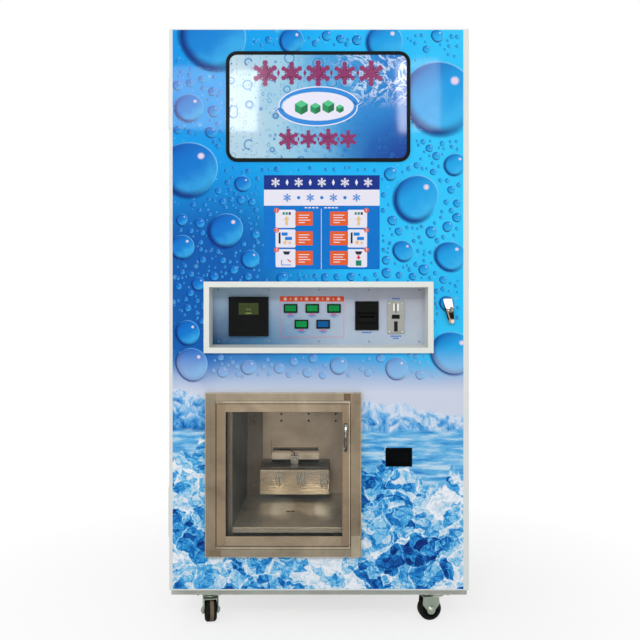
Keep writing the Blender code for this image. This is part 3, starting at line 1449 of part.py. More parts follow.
def auger_flight(start, length, axis_z):
    """The helical flight: a thin upright rectangle swept by a Screw with a rise, its two ends filled."""
    turns = length / AUGER_PITCH
    whole = max(1, math.floor(turns))
    pitch = length / whole - AUGER_THICKNESS / whole
    half = AUGER_THICKNESS / 2
    inner = AUGER_SHAFT - SHEET
    mesh = bpy.data.meshes.new("flight_profile")
    corners = [(inner, half), (AUGER_RADIUS, half), (AUGER_RADIUS, -half), (inner, -half)]
    mesh.from_pydata([(r, 0, z) for r, z in corners], [(0, 1), (1, 2), (2, 3), (3, 0)], [])
    guide = bpy.data.objects.new("flight_guide", mesh)
    CUTTERS.objects.link(guide)
    sweep = guide.modifiers.new("rise", "SCREW")
    sweep.iterations = whole
    sweep.screw_offset = pitch
    sweep.steps = sweep.render_steps = AUGER_STEPS
    sweep.merge_threshold = GAP / 30
    bpy.context.view_layer.update()
    made = bpy.data.meshes.new_from_object(guide.evaluated_get(bpy.context.evaluated_depsgraph_get()))
    bpy.data.objects.remove(guide, do_unlink=True)
    bm = bmesh.new()
    bm.from_mesh(made)
    bmesh.ops.remove_doubles(bm, verts=bm.verts, dist=GAP / 30)
    bmesh.ops.holes_fill(bm, edges=[e for e in bm.edges if e.is_boundary], sides=4)
    bmesh.ops.recalc_face_normals(bm, faces=bm.faces)
    bm.to_mesh(made)
    bm.free()
    along_y = Matrix.Rotation(math.radians(-90), 4, "X")
    made.transform(Matrix.Translation((HOOD_X, start + half, axis_z)) @ along_y)
    return place(made, "auger_flight", None, (0, 0, 0), cutter=True)


def build_control_box():
    right = HALF - SHEET - GAP
    low = (right - CONTROL_BOX_DEPTH, CONTROL_BOX_FRONT, CONTROL_BOX_BOTTOM)
    high = (right, CONTROL_BOX_FRONT + CONTROL_BOX_WIDTH, CONTROL_BOX_BOTTOM + CONTROL_BOX_HEIGHT)
    made = box("control_box", low, high, GREY)
    cut(made, box(
        "control_box_space",
        (low[0] + SHEET, low[1] + SHEET, low[2] + SHEET),
        (high[0] + OVERRUN, high[1] - SHEET, high[2] - SHEET),
    ))


# Casters: plate with its race, fork with axle and king pin, wheel. The turn is where the wheel trails
def build_caster(side_name, stem, trail, turn, swivels):
    facing = Matrix.Rotation(turn, 4, "Z")

    def spot(along, across, z):
        return Vector((stem[0], stem[1], 0)) + facing @ Vector((along, across, z))

    crown_top = CASTER_HEIGHT - GAP - PLATE_THICKNESS - RACE_HEIGHT - GAP
    plate_low = CASTER_HEIGHT - GAP - PLATE_THICKNESS
    plate_corners = (
        (stem[0] - PLATE_WIDTH / 2, stem[1] - PLATE_DEPTH / 2, plate_low),
        (stem[0] + PLATE_WIDTH / 2, stem[1] + PLATE_DEPTH / 2, CASTER_HEIGHT - GAP),
    )
    leg_gap = WHEEL_WIDTH / 2 + FORK_CLEAR
    fork_name = f"{side_name}_caster_fork"
    crown_low = crown_top - FORK_SHEET
    fork = rod(fork_name, spot(0, 0, crown_low), spot(0, 0, crown_top), CROWN_RADIUS, ZINC)
    join(fork, box_between(
        fork_name + "_yoke", facing, stem,
        (trail - FORK_TOP, -leg_gap - FORK_SHEET, crown_low),
        (trail + FORK_TOP, leg_gap + FORK_SHEET, crown_top),
    ))
    lobe_top = WHEEL_RADIUS + FORK_LOBE_RISE
    outline = [(trail - FORK_TOP, crown_top), (trail - FORK_LOBE, lobe_top)]
    for step in range(FORK_STEPS + 1):
        angle = math.pi + FORK_TAPER + (math.pi - 2 * FORK_TAPER) * step / FORK_STEPS
        outline.append((trail + FORK_FOOT * math.cos(angle), WHEEL_RADIUS + FORK_FOOT * math.sin(angle)))
    outline += [(trail + FORK_LOBE, lobe_top), (trail + FORK_TOP, crown_top)]
    upright_across = facing @ Matrix.Rotation(math.radians(90), 4, "X")
    for index, way in enumerate((-1, 1)):
        middle = spot(0, way * (leg_gap + FORK_SHEET / 2), 0)
        join(fork, profile(f"{fork_name}_leg_{index + 1}", outline, FORK_SHEET, None, middle, upright_across))
    nut = leg_gap + FORK_SHEET + AXLE_NUT
    join(fork, rod(
        fork_name + "_axle", spot(trail, -nut, WHEEL_RADIUS), spot(trail, nut, WHEEL_RADIUS),
        AXLE_RADIUS, sides=16,
    ))
    if swivels:
        plate = box(f"{side_name}_caster_plate", *plate_corners, ZINC)
        join(plate, rod(
            f"{side_name}_race",
            spot(0, 0, plate_low - RACE_HEIGHT), spot(0, 0, plate_low + PLATE_THICKNESS / 2), RACE_RADIUS,
        ))
        cut(plate, rod(
            f"{side_name}_race_bore", spot(0, 0, plate_low - RACE_HEIGHT - OVERRUN),
            spot(0, 0, CASTER_HEIGHT + OVERRUN), KING_PIN + KING_PIN_PLAY,
        ))
        join(fork, rod(
            fork_name + "_pin", spot(0, 0, crown_low), spot(0, 0, CASTER_HEIGHT - 2 * GAP), KING_PIN,
        ))
    else:
        join(
            fork,
            box(f"{side_name}_caster_plate", *plate_corners),
            rod(
                f"{side_name}_stem", spot(0, 0, crown_low), spot(0, 0, plate_low + PLATE_THICKNESS / 2),
                RACE_RADIUS,
            ),
        )
    half, hub = WHEEL_WIDTH / 2, WHEEL_WIDTH / 2 + HUB_PROUD
    bore = AXLE_RADIUS + AXLE_PLAY
    disc = WHEEL_RADIUS * DISC_SHARE
    rim = WHEEL_RADIUS * RIM_SHARE
    edge = WHEEL_WIDTH * TREAD_EDGE_SHARE
    ring = [
        (bore, hub), (HUB_RADIUS, hub), (HUB_RADIUS, half / 2), (disc, half / 2), (rim, half),
        (WHEEL_FLAT - edge, half), (WHEEL_FLAT, half - edge), (WHEEL_FLAT, -half + edge),
        (WHEEL_FLAT - edge, -half), (rim, -half), (disc, -half / 2), (HUB_RADIUS, -half / 2),
        (HUB_RADIUS, -hub), (bore, -hub),
    ]
    half_facet = Matrix.Rotation(math.radians(90) - math.pi / WHEEL_SIDES, 4, "Z")
    turned(
        f"{side_name}_wheel", ring, TREAD, spot(trail, 0, WHEEL_RADIUS), upright_across @ half_facet,
        steps=WHEEL_SIDES, ring=True,
    )


def box_between(name, facing, stem, low, high):
    """A box in a caster's own directions, as a tool."""
    made = box(name, low, high)
    made.matrix_world = Matrix.Translation((stem[0], stem[1], 0)) @ facing @ Matrix.Translation(made.location)
    return made


def build_casters():
    front_y = FRONT + FRONT_STEM_INSET
    rear_x, rear_y = HALF - REAR_STEM_SIDE, BACK - REAR_STEM_INSET
    build_caster("front_left", (-HALF + FRONT_LEFT_STEM_SIDE, front_y), CASTER_TRAIL, FRONT_LEFT_TURN, True)
    build_caster("front_right", (HALF - FRONT_RIGHT_STEM_SIDE, front_y), CASTER_TRAIL, FRONT_RIGHT_TURN, True)
    build_caster("rear_left", (-rear_x, rear_y), 0, REAR_TURN, False)
    build_caster("rear_right", (rear_x, rear_y), 0, REAR_TURN, False)


build_cabinet()
build_rear_panel()
door_skin = build_door()
build_hinges()
build_sign(door_skin)
build_recess()
build_reader()
build_buttons()
build_bill_acceptor()
build_coin_acceptor()
build_hatch()
build_window()
build_lock()
build_compartment()
build_bin()
build_control_box()
build_casters()
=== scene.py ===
"""Looks of the ice vending machine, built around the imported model."""

import math
import random

import bmesh
import bpy
from mathutils import Matrix, Vector


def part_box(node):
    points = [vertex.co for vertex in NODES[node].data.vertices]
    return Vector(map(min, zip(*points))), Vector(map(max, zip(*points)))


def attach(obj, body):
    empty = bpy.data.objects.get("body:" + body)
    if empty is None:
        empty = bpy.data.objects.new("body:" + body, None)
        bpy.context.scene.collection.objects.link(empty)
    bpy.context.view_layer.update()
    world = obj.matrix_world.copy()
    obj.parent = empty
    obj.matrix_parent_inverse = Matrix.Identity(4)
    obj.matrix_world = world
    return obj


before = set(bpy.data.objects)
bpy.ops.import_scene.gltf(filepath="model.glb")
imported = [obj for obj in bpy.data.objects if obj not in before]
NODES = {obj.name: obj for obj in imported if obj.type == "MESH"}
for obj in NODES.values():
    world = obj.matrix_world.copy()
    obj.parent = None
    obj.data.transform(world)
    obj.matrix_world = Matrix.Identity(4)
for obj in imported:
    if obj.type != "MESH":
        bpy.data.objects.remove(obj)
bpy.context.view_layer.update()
RANDOM = random.Random(7)

# The photo was taken square on, 2.6 m in front of the door, with the lens level at 1.006 m
CAMERA_PLACE = (0.003, -3.084, 1.006)
CAMERA_LENS = 44.72
SENSOR_WIDTH = 36
PHOTO_WIDTH = 640
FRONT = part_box("door_skin")[0].y
DOOR = "service_door"
CABINET = "cabinet"

# Lamps: name, place, size and power
SOFTBOXES = [
    ("key_softbox", (-3.0, -3.4, 3.2), (2.4, 2.0), 28.0),
    ("fill_softbox", (3.2, -3.2, 2.4), (2.0, 2.4), 16.0),
    ("front_softbox", (0.0, -6.2, 2.6), (6.0, 4.5), 40.0),
    ("back_softbox", (-1.2, 3.2, 3.0), (3.0, 2.0), 45.0),
]
WINDOWS = [
    ("left_window", (-0.80, -4.0, 2.70), (0.66, 0.46), 26.0),
    ("right_window", (0.76, -4.0, 2.73), (0.33, 0.54), 16.0),
]
SHELF_SPOTS = [("left_shelf_spot", -0.175, 95.0), ("right_shelf_spot", -0.015, 215.0)]
SPOT_ANGLE = 3.2
WORLD_LIGHT = 0.47
FLOOR_RADIUS = 9


def pixel(column, row):
    """x and z of the point on the door's front that the photo shows at a pixel."""
    scale = (FRONT - CAMERA_PLACE[1]) / (CAMERA_LENS / SENSOR_WIDTH * PHOTO_WIDTH)
    half = PHOTO_WIDTH / 2
    return CAMERA_PLACE[0] + (column - half) * scale, CAMERA_PLACE[2] + (half - row) * scale


def rgb(*colour):
    """A colour written as 0-255 screen values, as linear light."""
    shares = [value / 255 for value in colour]
    return (*(c / 12.92 if c <= 0.04045 else ((c + 0.055) / 1.055) ** 2.4 for c in shares), 1.0)


def linked(name, data, place=(0, 0, 0)):
    made = bpy.data.objects.new(name, data)
    made.location = place
    bpy.context.scene.collection.objects.link(made)
    return made


def riding(made, body):
    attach(made, body)
    return made


# ---- camera, light and floor
def build_camera():
    data = bpy.data.cameras.new("camera")
    data.lens = CAMERA_LENS
    data.sensor_width = SENSOR_WIDTH
    data.clip_end = 50
    camera = linked("camera", data, CAMERA_PLACE)
    camera.rotation_euler = (math.radians(90), 0, 0)
    bpy.context.scene.camera = camera


def lamp(name, kind, place, target, power):
    """A lamp at place that shines at target."""
    data = bpy.data.lights.new(name, kind)
    data.energy = power
    made = linked(name, data, place)
    made.rotation_euler = (Vector(target) - Vector(place)).to_track_quat("-Z", "Y").to_euler()
    return made


def softbox(name, place, size, power, target=(0, -0.3, 1.0)):
    data = lamp(name, "AREA", place, target, power).data
    data.shape = "RECTANGLE"
    data.size, data.size_y = size


def narrow_spot(name, place, target, power):
    """A narrow lamp that the camera doesn't see."""
    made = lamp(name, "SPOT", place, target, power)
    made.data.spot_size = math.radians(SPOT_ANGLE)
    made.data.spot_blend = 1.0
    made.data.shadow_soft_size = 0.02
    made.visible_camera = False


def seen_rays(tree):
    """1 for the rays that show a background: camera, glossy and transmission."""
    path = tree.nodes.new("ShaderNodeLightPath")
    last = path.outputs["Is Camera Ray"]
    for kind in ("Is Glossy Ray", "Is Transmission Ray"):
        either = tree.nodes.new("ShaderNodeMath")
        either.operation = "MAXIMUM"
        tree.links.new(last, either.inputs[0])
        tree.links.new(path.outputs[kind], either.inputs[1])
        last = either.outputs[0]
    return last


def mixed_shaders(tree, share, first, second, output):
    mixed = tree.nodes.new("ShaderNodeMixShader")
    for socket, source in zip(mixed.inputs, (share, first, second)):
        tree.links.new(source, socket)
    tree.links.new(mixed.outputs[0], tree.nodes[output].inputs[0])


def build_world():
    """A plain light, shown as white where a ray looks for the background."""
    world = bpy.data.worlds.new("world")
    bpy.context.scene.world = world
    world.use_nodes = True
    tree = world.node_tree
    light = tree.nodes["Background"]
    shown = tree.nodes.new("ShaderNodeBackground")
    light.inputs["Strength"].default_value = WORLD_LIGHT
    for background in (light, shown):
        background.inputs["Color"].default_value = (1, 1, 1, 1)
    mixed_shaders(tree, seen_rays(tree), light.outputs[0], shown.outputs[0], "World Output")


def build_floor():
    """White paper that keeps the object's shadow near it and fades into the white background."""
    bm = bmesh.new()
    bmesh.ops.create_circle(bm, cap_ends=True, segments=64, radius=FLOOR_RADIUS)
    data = bpy.data.meshes.new("floor")
    bm.to_mesh(data)
    bm.free()
    floor = linked("floor", data)
    paper = Nodes("floor_paper", {"Base Color": (0.9, 0.9, 0.9), "Roughness": 0.9, "Specular IOR Level": 0.0})
    away = paper.length(paper.coords()).span(0, 5)
    fade = paper.ramp(away, [(0.0, (0.62,) * 3), (0.16, (0.8,) * 3), (0.3, (1, 1, 1))])
    glow = paper.add("Emission", {"Color": (1, 1, 1, 1)})
    share = fade * seen_rays(paper.tree)
    mixed_shaders(paper.tree, share.socket, paper.shader.outputs[0], glow.outputs[0], "Material Output")
    data.materials.append(paper.material)


def build_stage():
    build_world()
    build_floor()
    for each in SOFTBOXES:
        softbox(*each)
    for each in WINDOWS:
        softbox(*each, (0, -0.48, 1.1))
    for name, x, power in SHELF_SPOTS:
        narrow_spot(name, (x, -2.0, 1.35), (x, -0.21, 0.32), power)


# ---- materials from nodes
class Value:
    """A node's output that can be reckoned with: each operation adds a node."""

    def __init__(self, nodes, socket):
        self.nodes, self.socket = nodes, socket

    def op(self, operation, a, b=None):
        return self.nodes.math(operation, a, b)

    def __add__(self, other):
        return self.op("ADD", self, other)

    def __sub__(self, other):
        return self.op("SUBTRACT", self, other)

    def __rsub__(self, other):
        return self.op("SUBTRACT", other, self)

    def __mul__(self, other):
        return self.op("MULTIPLY", self, other)

    def __abs__(self):
        return self.op("ABSOLUTE", self)

    def __gt__(self, other):
        return self.op("GREATER_THAN", self, other)

    def __lt__(self, other):
        return self.op("LESS_THAN", self, other)

    def part(self, letter):
        return self.nodes.add("SeparateXYZ", {0: self}, letter)

    x = property(lambda self: self.part("X"))
    y = property(lambda self: self.part("Y"))
    z = property(lambda self: self.part("Z"))

    def span(self, low, high, to_low=0.0, to_high=1.0):
        """Held to low and high, and mapped from them to to_low and to_high."""
        return self.nodes.remap(self, low, high, to_low, to_high, "LINEAR")

    def ease(self, low, high, to_low=0.0, to_high=1.0):
        return self.nodes.remap(self, low, high, to_low, to_high, "SMOOTHSTEP")

    def near(self, centre, far, close):
        """1 within close of centre, 0 beyond far."""
        return abs(self - centre).span(far, close)


class Nodes:
    """A short way to write one procedural material."""

    def __init__(self, name, constants):
        self.material = bpy.data.materials.new(name)
        self.material.use_nodes = True
        self.tree = self.material.node_tree
        self.shader = self.tree.nodes["Principled BSDF"]
        self.set(self.shader, constants)

    def set(self, node, values):
        for key, value in values.items():
            socket = node.inputs[key]
            value = getattr(value, "socket", value)
            if isinstance(value, bpy.types.NodeSocket):
                self.tree.links.new(value, socket)
            elif value is not None:
                if socket.type == "RGBA" and len(value) == 3:
                    value = (*value, 1.0)
                socket.default_value = value

    def done(self, colour, roughness=None, normal=None, **others):
        """Joins the last values to the shader and returns the material."""
        self.set(self.shader, {"Base Color": colour, "Roughness": roughness, "Normal": normal, **others})
        return self.material

    def add(self, kind, values=None, output=None, **settings):
        """A new node, or with output a value from it."""
        node = self.tree.nodes.new("ShaderNode" + kind)
        for key, value in settings.items():
            setattr(node, key, value)
        self.set(node, values or {})
        return node if output is None else Value(self, node.outputs[output])

    def coords(self):
        return self.add("TexCoord", output="Object")

    def facing(self):
        return self.add("TexCoord", output="Normal")

    def stretch(self, vector, scale, place=(0, 0, 0)):
        return self.add("Mapping", {"Vector": vector, "Scale": scale, "Location": place}, 0)

    def vector(self, operation, a, b, output=0):
        return self.add("VectorMath", {0: a, 1: b}, output, operation=operation)

    def length(self, vector):
        return self.add("VectorMath", {0: vector}, "Value", operation="LENGTH")

    def math(self, operation, a, b=None):
        return self.add("Math", {0: a, 1: b}, 0, operation=operation)

    def noise(self, vector, scale, detail=4.0, roughness=0.55, distortion=0.0, output="Fac"):
        values = {"Vector": vector, "Scale": scale, "Detail": detail, "Roughness": roughness,
                  "Distortion": distortion}
        return self.add("TexNoise", values, output)

    def cells(self, vector, scale, output="Distance", feature="F1"):
        return self.add("TexVoronoi", {"Vector": vector, "Scale": scale, "Randomness": 1.0}, output, feature=feature)

    def ramp(self, factor, stops):
        node = self.add("ValToRGB", {0: factor})
        points = node.color_ramp.elements
        while len(points) < len(stops):
            points.new(0.5)
        for point, (place, colour) in zip(points, stops):
            point.position = place
            point.color = (*colour[:3], 1.0)
        return Value(self, node.outputs[0])

    def remap(self, value, low, high, to_low, to_high, kind):
        values = {"Value": value, "From Min": low, "From Max": high, "To Min": to_low, "To Max": to_high}
        return self.add("MapRange", values, 0, interpolation_type=kind)

    def mix(self, factor, a, b, blend="MIX"):
        return self.add("Mix", {0: factor, 6: a, 7: b}, 2, data_type="RGBA", blend_type=blend)

    def bump(self, height, distance, strength=1.0):
        return self.add("Bump", {"Height": height, "Distance": distance, "Strength": strength}, 0)


def painted(name, colour, roughness=0.38, grime=0.06):
    """Powder coat: orange peel, a little uneven colour and dirt that gathers low down."""
    m = Nodes(name, {"Coat Weight": 0.1, "Coat Roughness": 0.22, "Specular IOR Level": 0.3})
    place = m.coords()
    base = rgb(*colour)
    patch = m.noise(place, 2.2, 6.0, 0.62).span(0.32, 0.75)
    dull = tuple(c * (1 - grime) for c in base[:3])
    body = m.mix(patch, base, (dull[0], dull[1], dull[2] * 0.97))
    stain = place.z.ease(0.32, 0.09) * m.noise(place, 14, 5).span(0.42, 0.72)
    body = m.mix(stain * 0.35, body, rgb(150, 148, 138))
    return m.done(body, m.noise(place, 35, 4).span(0.3, 0.7, roughness - 0.06, roughness + 0.08),
                  m.bump(m.noise(place, 620, 2.0, 0.5), 0.00012, 0.6))


def stainless(name, colour, grain="X", roughness=0.3, split=None, cloud=0.12, lines=0.30, depth=0.00006,
              side_shade=None, lid=0.0):
    """Brushed stainless: fine scratches along the grain, cloudy wear and smears.

    split swaps the grain at the upright rails and paints them darker, a painted shade; side_shade darkens what faces
    sideways, a painted shade; lid dulls what faces up.
    """
    m = Nodes(name, {"Metallic": 1.0})
    place = m.coords()
    along = {"X": (5, 260, 260), "Z": (260, 260, 5)}
    base = rgb(*colour)[:3]

    def brushed(direction):
        coarse = m.noise(m.stretch(place, along[direction]), 1.0, 4.0, 0.6)
        fine = m.noise(m.stretch(place, tuple(4 * v for v in along[direction])), 1.0, 3.0, 0.6)
        return coarse * 0.6 + fine * 0.4

    def scaled(share):
        return tuple(min(1.0, c * share) for c in base)

    scratch = brushed(grain)
    if split:
        rail = abs(place.x - split[0]) > split[1]
        scratch = scratch * (1.0 - rail) + brushed("Z") * rail
    smear = m.noise(place, 6.5, 5.0, 0.62, 0.6).span(0.3, 0.72)
    body = m.mix(smear, scaled(1 - 2.2 * cloud), scaled(1 + 2.0 * cloud))
    body = m.mix(scratch.span(0.35, 0.65) * lines, body, scaled(1.35))
    # real change of grain at the upright rails, with painted shade: the rails darker than the cross rails
    if split:
        body = m.mix(1.0, body, m.mix(rail, (1, 1, 1), (0.84, 0.80, 0.76)), "MULTIPLY")
    # painted shade: faces that look sideways darkened
    if side_shade:
        body = m.mix(abs(m.facing().x).span(0.4, 0.8), body, m.mix(1.0, body, side_shade, "MULTIPLY"))
    if lid:
        m.set(m.shader, {"Metallic": 1.0 - m.facing().z.span(0.3, 0.7) * lid})
    rough = scratch.span(0.3, 0.7, roughness - 0.07, roughness + 0.08) + smear.span(0.0, 1.0, 0.05, -0.02)
    return m.done(body, rough, m.bump(scratch, depth, 0.5))


def moulded(name, colour, roughness=0.42, grain=900, depth=0.00006, coat=0.0, spread=0.25, shine=0.05):
    """Moulded plastic or rubber with a fine texture and slightly uneven gloss."""
    m = Nodes(name, {"Coat Weight": coat, "Coat Roughness": 0.08, "Specular IOR Level": shine})
    place = m.coords()
    base = rgb(*colour)
    worn = tuple(min(1.0, c * (1 + spread) + 0.002) for c in base[:3])
    return m.done(m.mix(m.noise(place, 9, 6.0).span(0.35, 0.7), base, worn),
                  m.noise(place, 40, 4.0).span(0.3, 0.7, roughness - 0.07, roughness + 0.09),
                  m.bump(m.noise(place, grain, 2.0), depth, 0.7))


def metal(name, colour, roughness=0.3, spangle=0.0):
    """Plain plated metal, with spangle for zinc."""
    m = Nodes(name, {"Metallic": 1.0})
    place = m.coords()
    base = rgb(*colour)
    patch = m.noise(place, 26, 5.0).span(0.32, 0.7)
    if spangle:
        patch = patch * (1 - spangle) + m.cells(place, 260, "Color").x * spangle
    return m.done(m.mix(patch, tuple(c * 0.85 for c in base[:3]), base),
                  patch.span(0.0, 1.0, roughness + 0.06, roughness - 0.04),
                  m.bump(m.noise(place, 340, 3.0), 0.00004, 0.5))


def chrome(name):
    """Polished chrome with a painted reflection of a room: lighter where it faces up, darker where it looks down and
    to the right, with a dull worn skin.
    """
    m = Nodes(name, {"Metallic": 1.0})
    place, facing = m.coords(), m.facing()
    # painted reflection: the colour follows which way each face looks
    tone = facing.z.span(-0.7, 0.5) + facing.x.span(-0.9, 0.9, 0.28, -0.28)
    tone = tone + m.noise(place, 70, 5.0).span(0.3, 0.7, -0.22, 0.22)
    body = m.ramp(tone, [(0.12, rgb(52, 52, 50)), (0.42, rgb(120, 120, 116)), (0.6, rgb(70, 70, 68)),
                         (0.8, rgb(214, 214, 212))])
    return m.done(body, m.noise(place, 140, 4.0).span(0.3, 0.7, 0.08, 0.22),
                  m.bump(m.noise(place, 260, 3.0), 0.00005, 0.4))


def printed(name, colour, roughness=0.34, coat=0.05, spread=0.02):
    """Ink on a smooth sheet."""
    m = Nodes(name, {"Coat Weight": coat, "Coat Roughness": 0.12, "Specular IOR Level": 0.05})
    place = m.coords()
    base = rgb(*colour)
    pale = tuple(min(1.0, c * (1 - spread) + spread * 0.6) for c in base[:3])
    return m.done(m.mix(m.noise(place, 60, 4.0).span(0.35, 0.75, 0.0, 0.6), base, pale),
                  m.noise(place, 30, 4.0).span(0.3, 0.7, roughness - 0.05, roughness + 0.06),
                  m.bump(m.noise(place, 700, 2.0), 0.00003, 0.4))


# ---- printed film
WRAP_LEFT, WRAP_RIGHT = -0.479, 0.472
WRAP_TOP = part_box("door_skin")[1].z - 0.003
WRAP_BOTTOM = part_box("door_skin")[0].z + 0.004
WHITE_PAINT = (224, 227, 223)


def ice_facets(m, place):
    """Crushed ice as cracked facets: three sizes of warped cells, from white through azure to navy."""
    warp = m.noise(place, 9, 3.0, 0.6, output="Color")
    moved = m.vector("ADD", m.stretch(warp, (0.09,) * 3), place)
    big = m.cells(moved, 11, "Color")
    small = m.cells(m.stretch(moved, (1.0, 1.0, 1.3)), 34, "Color")
    tone = big.x * 0.34 + small.y * 0.26
    tone = tone + m.noise(moved, 46, 5.0, 0.68, 1.4) * 0.62
    tone = tone + m.noise(moved, 5.5, 2.0, 0.5).span(0.3, 0.7, -0.09, 0.12)
    edge = m.cells(moved, 11, feature="DISTANCE_TO_EDGE").span(0.0, 0.035, 0.16, 0.0)
    thin = m.cells(moved, 34, feature="DISTANCE_TO_EDGE").span(0.0, 0.05, 0.12, 0.0)
    return m.ramp(tone + (edge - thin), [
        (0.32, rgb(8, 44, 116)), (0.45, rgb(16, 102, 182)), (0.55, rgb(50, 152, 216)),
        (0.64, rgb(122, 194, 232)), (0.74, rgb(200, 218, 232)), (0.88, rgb(236, 240, 246)),
    ])


def fine_drops(m, place, colour):
    """Fine drops pressed into the print: a dark foot, a light top."""
    for scale, size, weight in ((15, 0.17, 0.7), (31, 0.24, 0.7), (66, 0.30, 0.6)):
        flat = m.stretch(place, (1.0, 0.0, 1.0))
        shade = m.vector("SUBTRACT", m.stretch(flat, (scale,) * 3), m.cells(flat, scale, "Position")).z
        chance = m.cells(flat, scale, "Color").x.span(0.35, 1.0, 0.0, size)
        depth = chance - m.cells(flat, scale)
        inside = depth.span(0.0, 0.03)
        colour = m.mix(inside * depth.span(0.06, 0.015) * weight, colour, rgb(10, 70, 158))
        colour = m.mix(inside * shade.span(-0.14, 0.14) * (weight * 0.5), colour, rgb(120, 206, 244))
    return colour


def ridges(m, place, colour):
    """Two lines of distant ridges, the nearer one lower and darker."""
    for scale, low, high, light, shift in ((3.1, 0.66, 0.76, 0.02, 0.3), (5.3, 0.63, 0.715, -0.05, 7.1)):
        crest = m.noise(m.stretch(place, (1.0, 0.0, 0.0), (shift, 0, 0)), scale, 7.0, 0.6)
        fall = crest.span(0.3, 0.7, low, high) + place.x.span(-0.3, -0.44, 0.0, 0.07) - place.z
        rock = m.noise(m.stretch(place, (1.0, 0.0, 0.62), (shift, 0, 0)), 22, 7.0, 0.72, 1.1)
        slope = m.ramp(rock + fall.span(0.0, 0.09, 0.10 + light, light - 0.06), [
            (0.36, rgb(16, 88, 164)), (0.45, rgb(54, 140, 208)), (0.54, rgb(118, 180, 226)),
            (0.64, rgb(206, 218, 234)),
        ])
        colour = m.mix(fall.span(-0.003, 0.003), colour, slope)
    return colour


def wrap_material():
    """The printed film: azure with fine drops above, a pale haze, and cracked ice below."""
    m = Nodes("printed_film", {"Coat Weight": 0.1, "Coat Roughness": 0.05, "Specular IOR Level": 0.02})
    place = m.coords()
    x, z = place.x, place.z
    tone = x.span(-0.48, 0.48, 0.0, 0.62) + m.noise(place, 2.6, 2.0, 0.5).span(0.25, 0.75, 0.0, 0.38)
    azure = m.ramp(tone, [
        (0.05, rgb(8, 138, 222)), (0.3, rgb(14, 158, 230)), (0.6, rgb(32, 180, 242)), (0.9, rgb(54, 198, 246)),
    ])
    deep = z.ease(1.55, 1.25) * x.ease(0.15, -0.32)
    azure = fine_drops(m, place, m.mix(deep * 0.9, azure, rgb(12, 80, 164)))
    haze = (z + m.noise(place, 3.4, 3.0).span(0.2, 0.8, -0.07, 0.07)).ease(0.93, 0.80)
    sky = m.mix(z.span(0.88, 0.77), rgb(80, 148, 208), rgb(202, 209, 226))
    pattern = ridges(m, place, m.mix(haze, azure, sky))
    shore = (z + m.noise(place, 9, 3).span(0.2, 0.8, -0.012, 0.012)).span(0.652, 0.640)
    wave = m.noise(m.stretch(place, (1.0, 0.0, 6.0)), 9, 4.0, 0.6)
    water = m.ramp(wave, [(0.34, rgb(36, 128, 200)), (0.5, rgb(104, 180, 226)), (0.64, rgb(190, 216, 234))])
    pattern = m.mix(shore, pattern, water)
    heap = m.noise(m.stretch(place, (1.0, 0.0, 0.0)), 6.5, 5.0, 0.62).span(0.25, 0.75, 0.36, 0.66)
    ice = (heap + x.span(-0.48, 0.48, 0.06, -0.02) - z).span(-0.006, 0.006)
    pattern = m.mix(ice, pattern, ice_facets(m, place))

    # The film ends short of the door's edges; white paint shows beyond it
    sheet = (x > WRAP_LEFT) * (x < WRAP_RIGHT) * ((z > WRAP_BOTTOM) * (z < WRAP_TOP)) * (place.y < FRONT + 0.0006)
    paint = m.mix(m.noise(place, 3, 5), rgb(*WHITE_PAINT), rgb(214, 217, 213))
    ripple = m.noise(place, 7, 2.0) + m.noise(place, 500, 2.0) * 0.02
    return m.done(m.mix(sheet, paint, pattern), m.noise(place, 22, 5).span(0.3, 0.7, 0.26, 0.36),
                  m.bump(ripple, 0.0012, 0.35))


# ---- materials of single nodes
def lock_chrome():
    """The lock handle's chrome, with light and shade painted along its length: a bright top plate and a bright tip as
    painted highlights, a pitted middle, a dark hollow as painted shade, and a painted highlight and a painted shadow
    down its left side.
    """
    m = Nodes("lock_chrome", {"Metallic": 1.0})
    place = m.coords()
    low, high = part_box("lock_handle")
    along = place.z.span(low.z, high.z)
    pits = m.noise(place, 210, 4.0, 0.6).span(0.4, 0.6, -0.16, 0.16)
    along = along + pits * along.near(0.54, 0.14, 0.08)
    # painted reflections and painted shade: light and dark bands along the handle
    tone = m.ramp(along, [
        (0.12, rgb(214, 190, 180)), (0.16, rgb(150, 136, 124)), (0.19, rgb(24, 20, 17)), (0.42, rgb(30, 26, 22)),
        (0.48, rgb(150, 138, 124)), (0.55, rgb(52, 47, 42)), (0.62, rgb(160, 156, 148)), (0.66, rgb(244, 244, 244)),
        (0.94, rgb(250, 250, 250)), (0.97, rgb(60, 60, 58)),
    ])
    # painted highlight and painted shadow down the handle's left side
    across = place.x + place.z * 0.308
    left = across.span(0.7382, 0.7374) * along.span(0.56, 0.48)
    rim = across.span(0.7342, 0.7332) * along.span(0.1, 0.16)
    body = m.mix(rim, m.mix(left, tone, rgb(150, 132, 114)), rgb(22, 18, 16))
    return m.done(body, m.noise(place, 160, 4.0).span(0.3, 0.7, 0.12, 0.26),
                  m.bump(m.noise(place, 300, 3.0), 0.00005, 0.4))


def glass_material():
    m = Nodes("clear_glass", {"Specular IOR Level": 0.5})
    place = m.coords()
    smear = m.noise(place, 5, 6.0, 0.65, 1.2).span(0.42, 0.78, 0.03, 0.08)
    return m.done((0.30, 0.34, 0.34), m.noise(place, 9, 5.0).span(0.3, 0.8, 0.02, 0.12), Alpha=smear)


def node_share(place, name):
    """x and z as shares of a node's box, from its lower left corner."""
    low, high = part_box(name)
    return place.x.span(low.x, high.x), place.z.span(low.z, high.z)


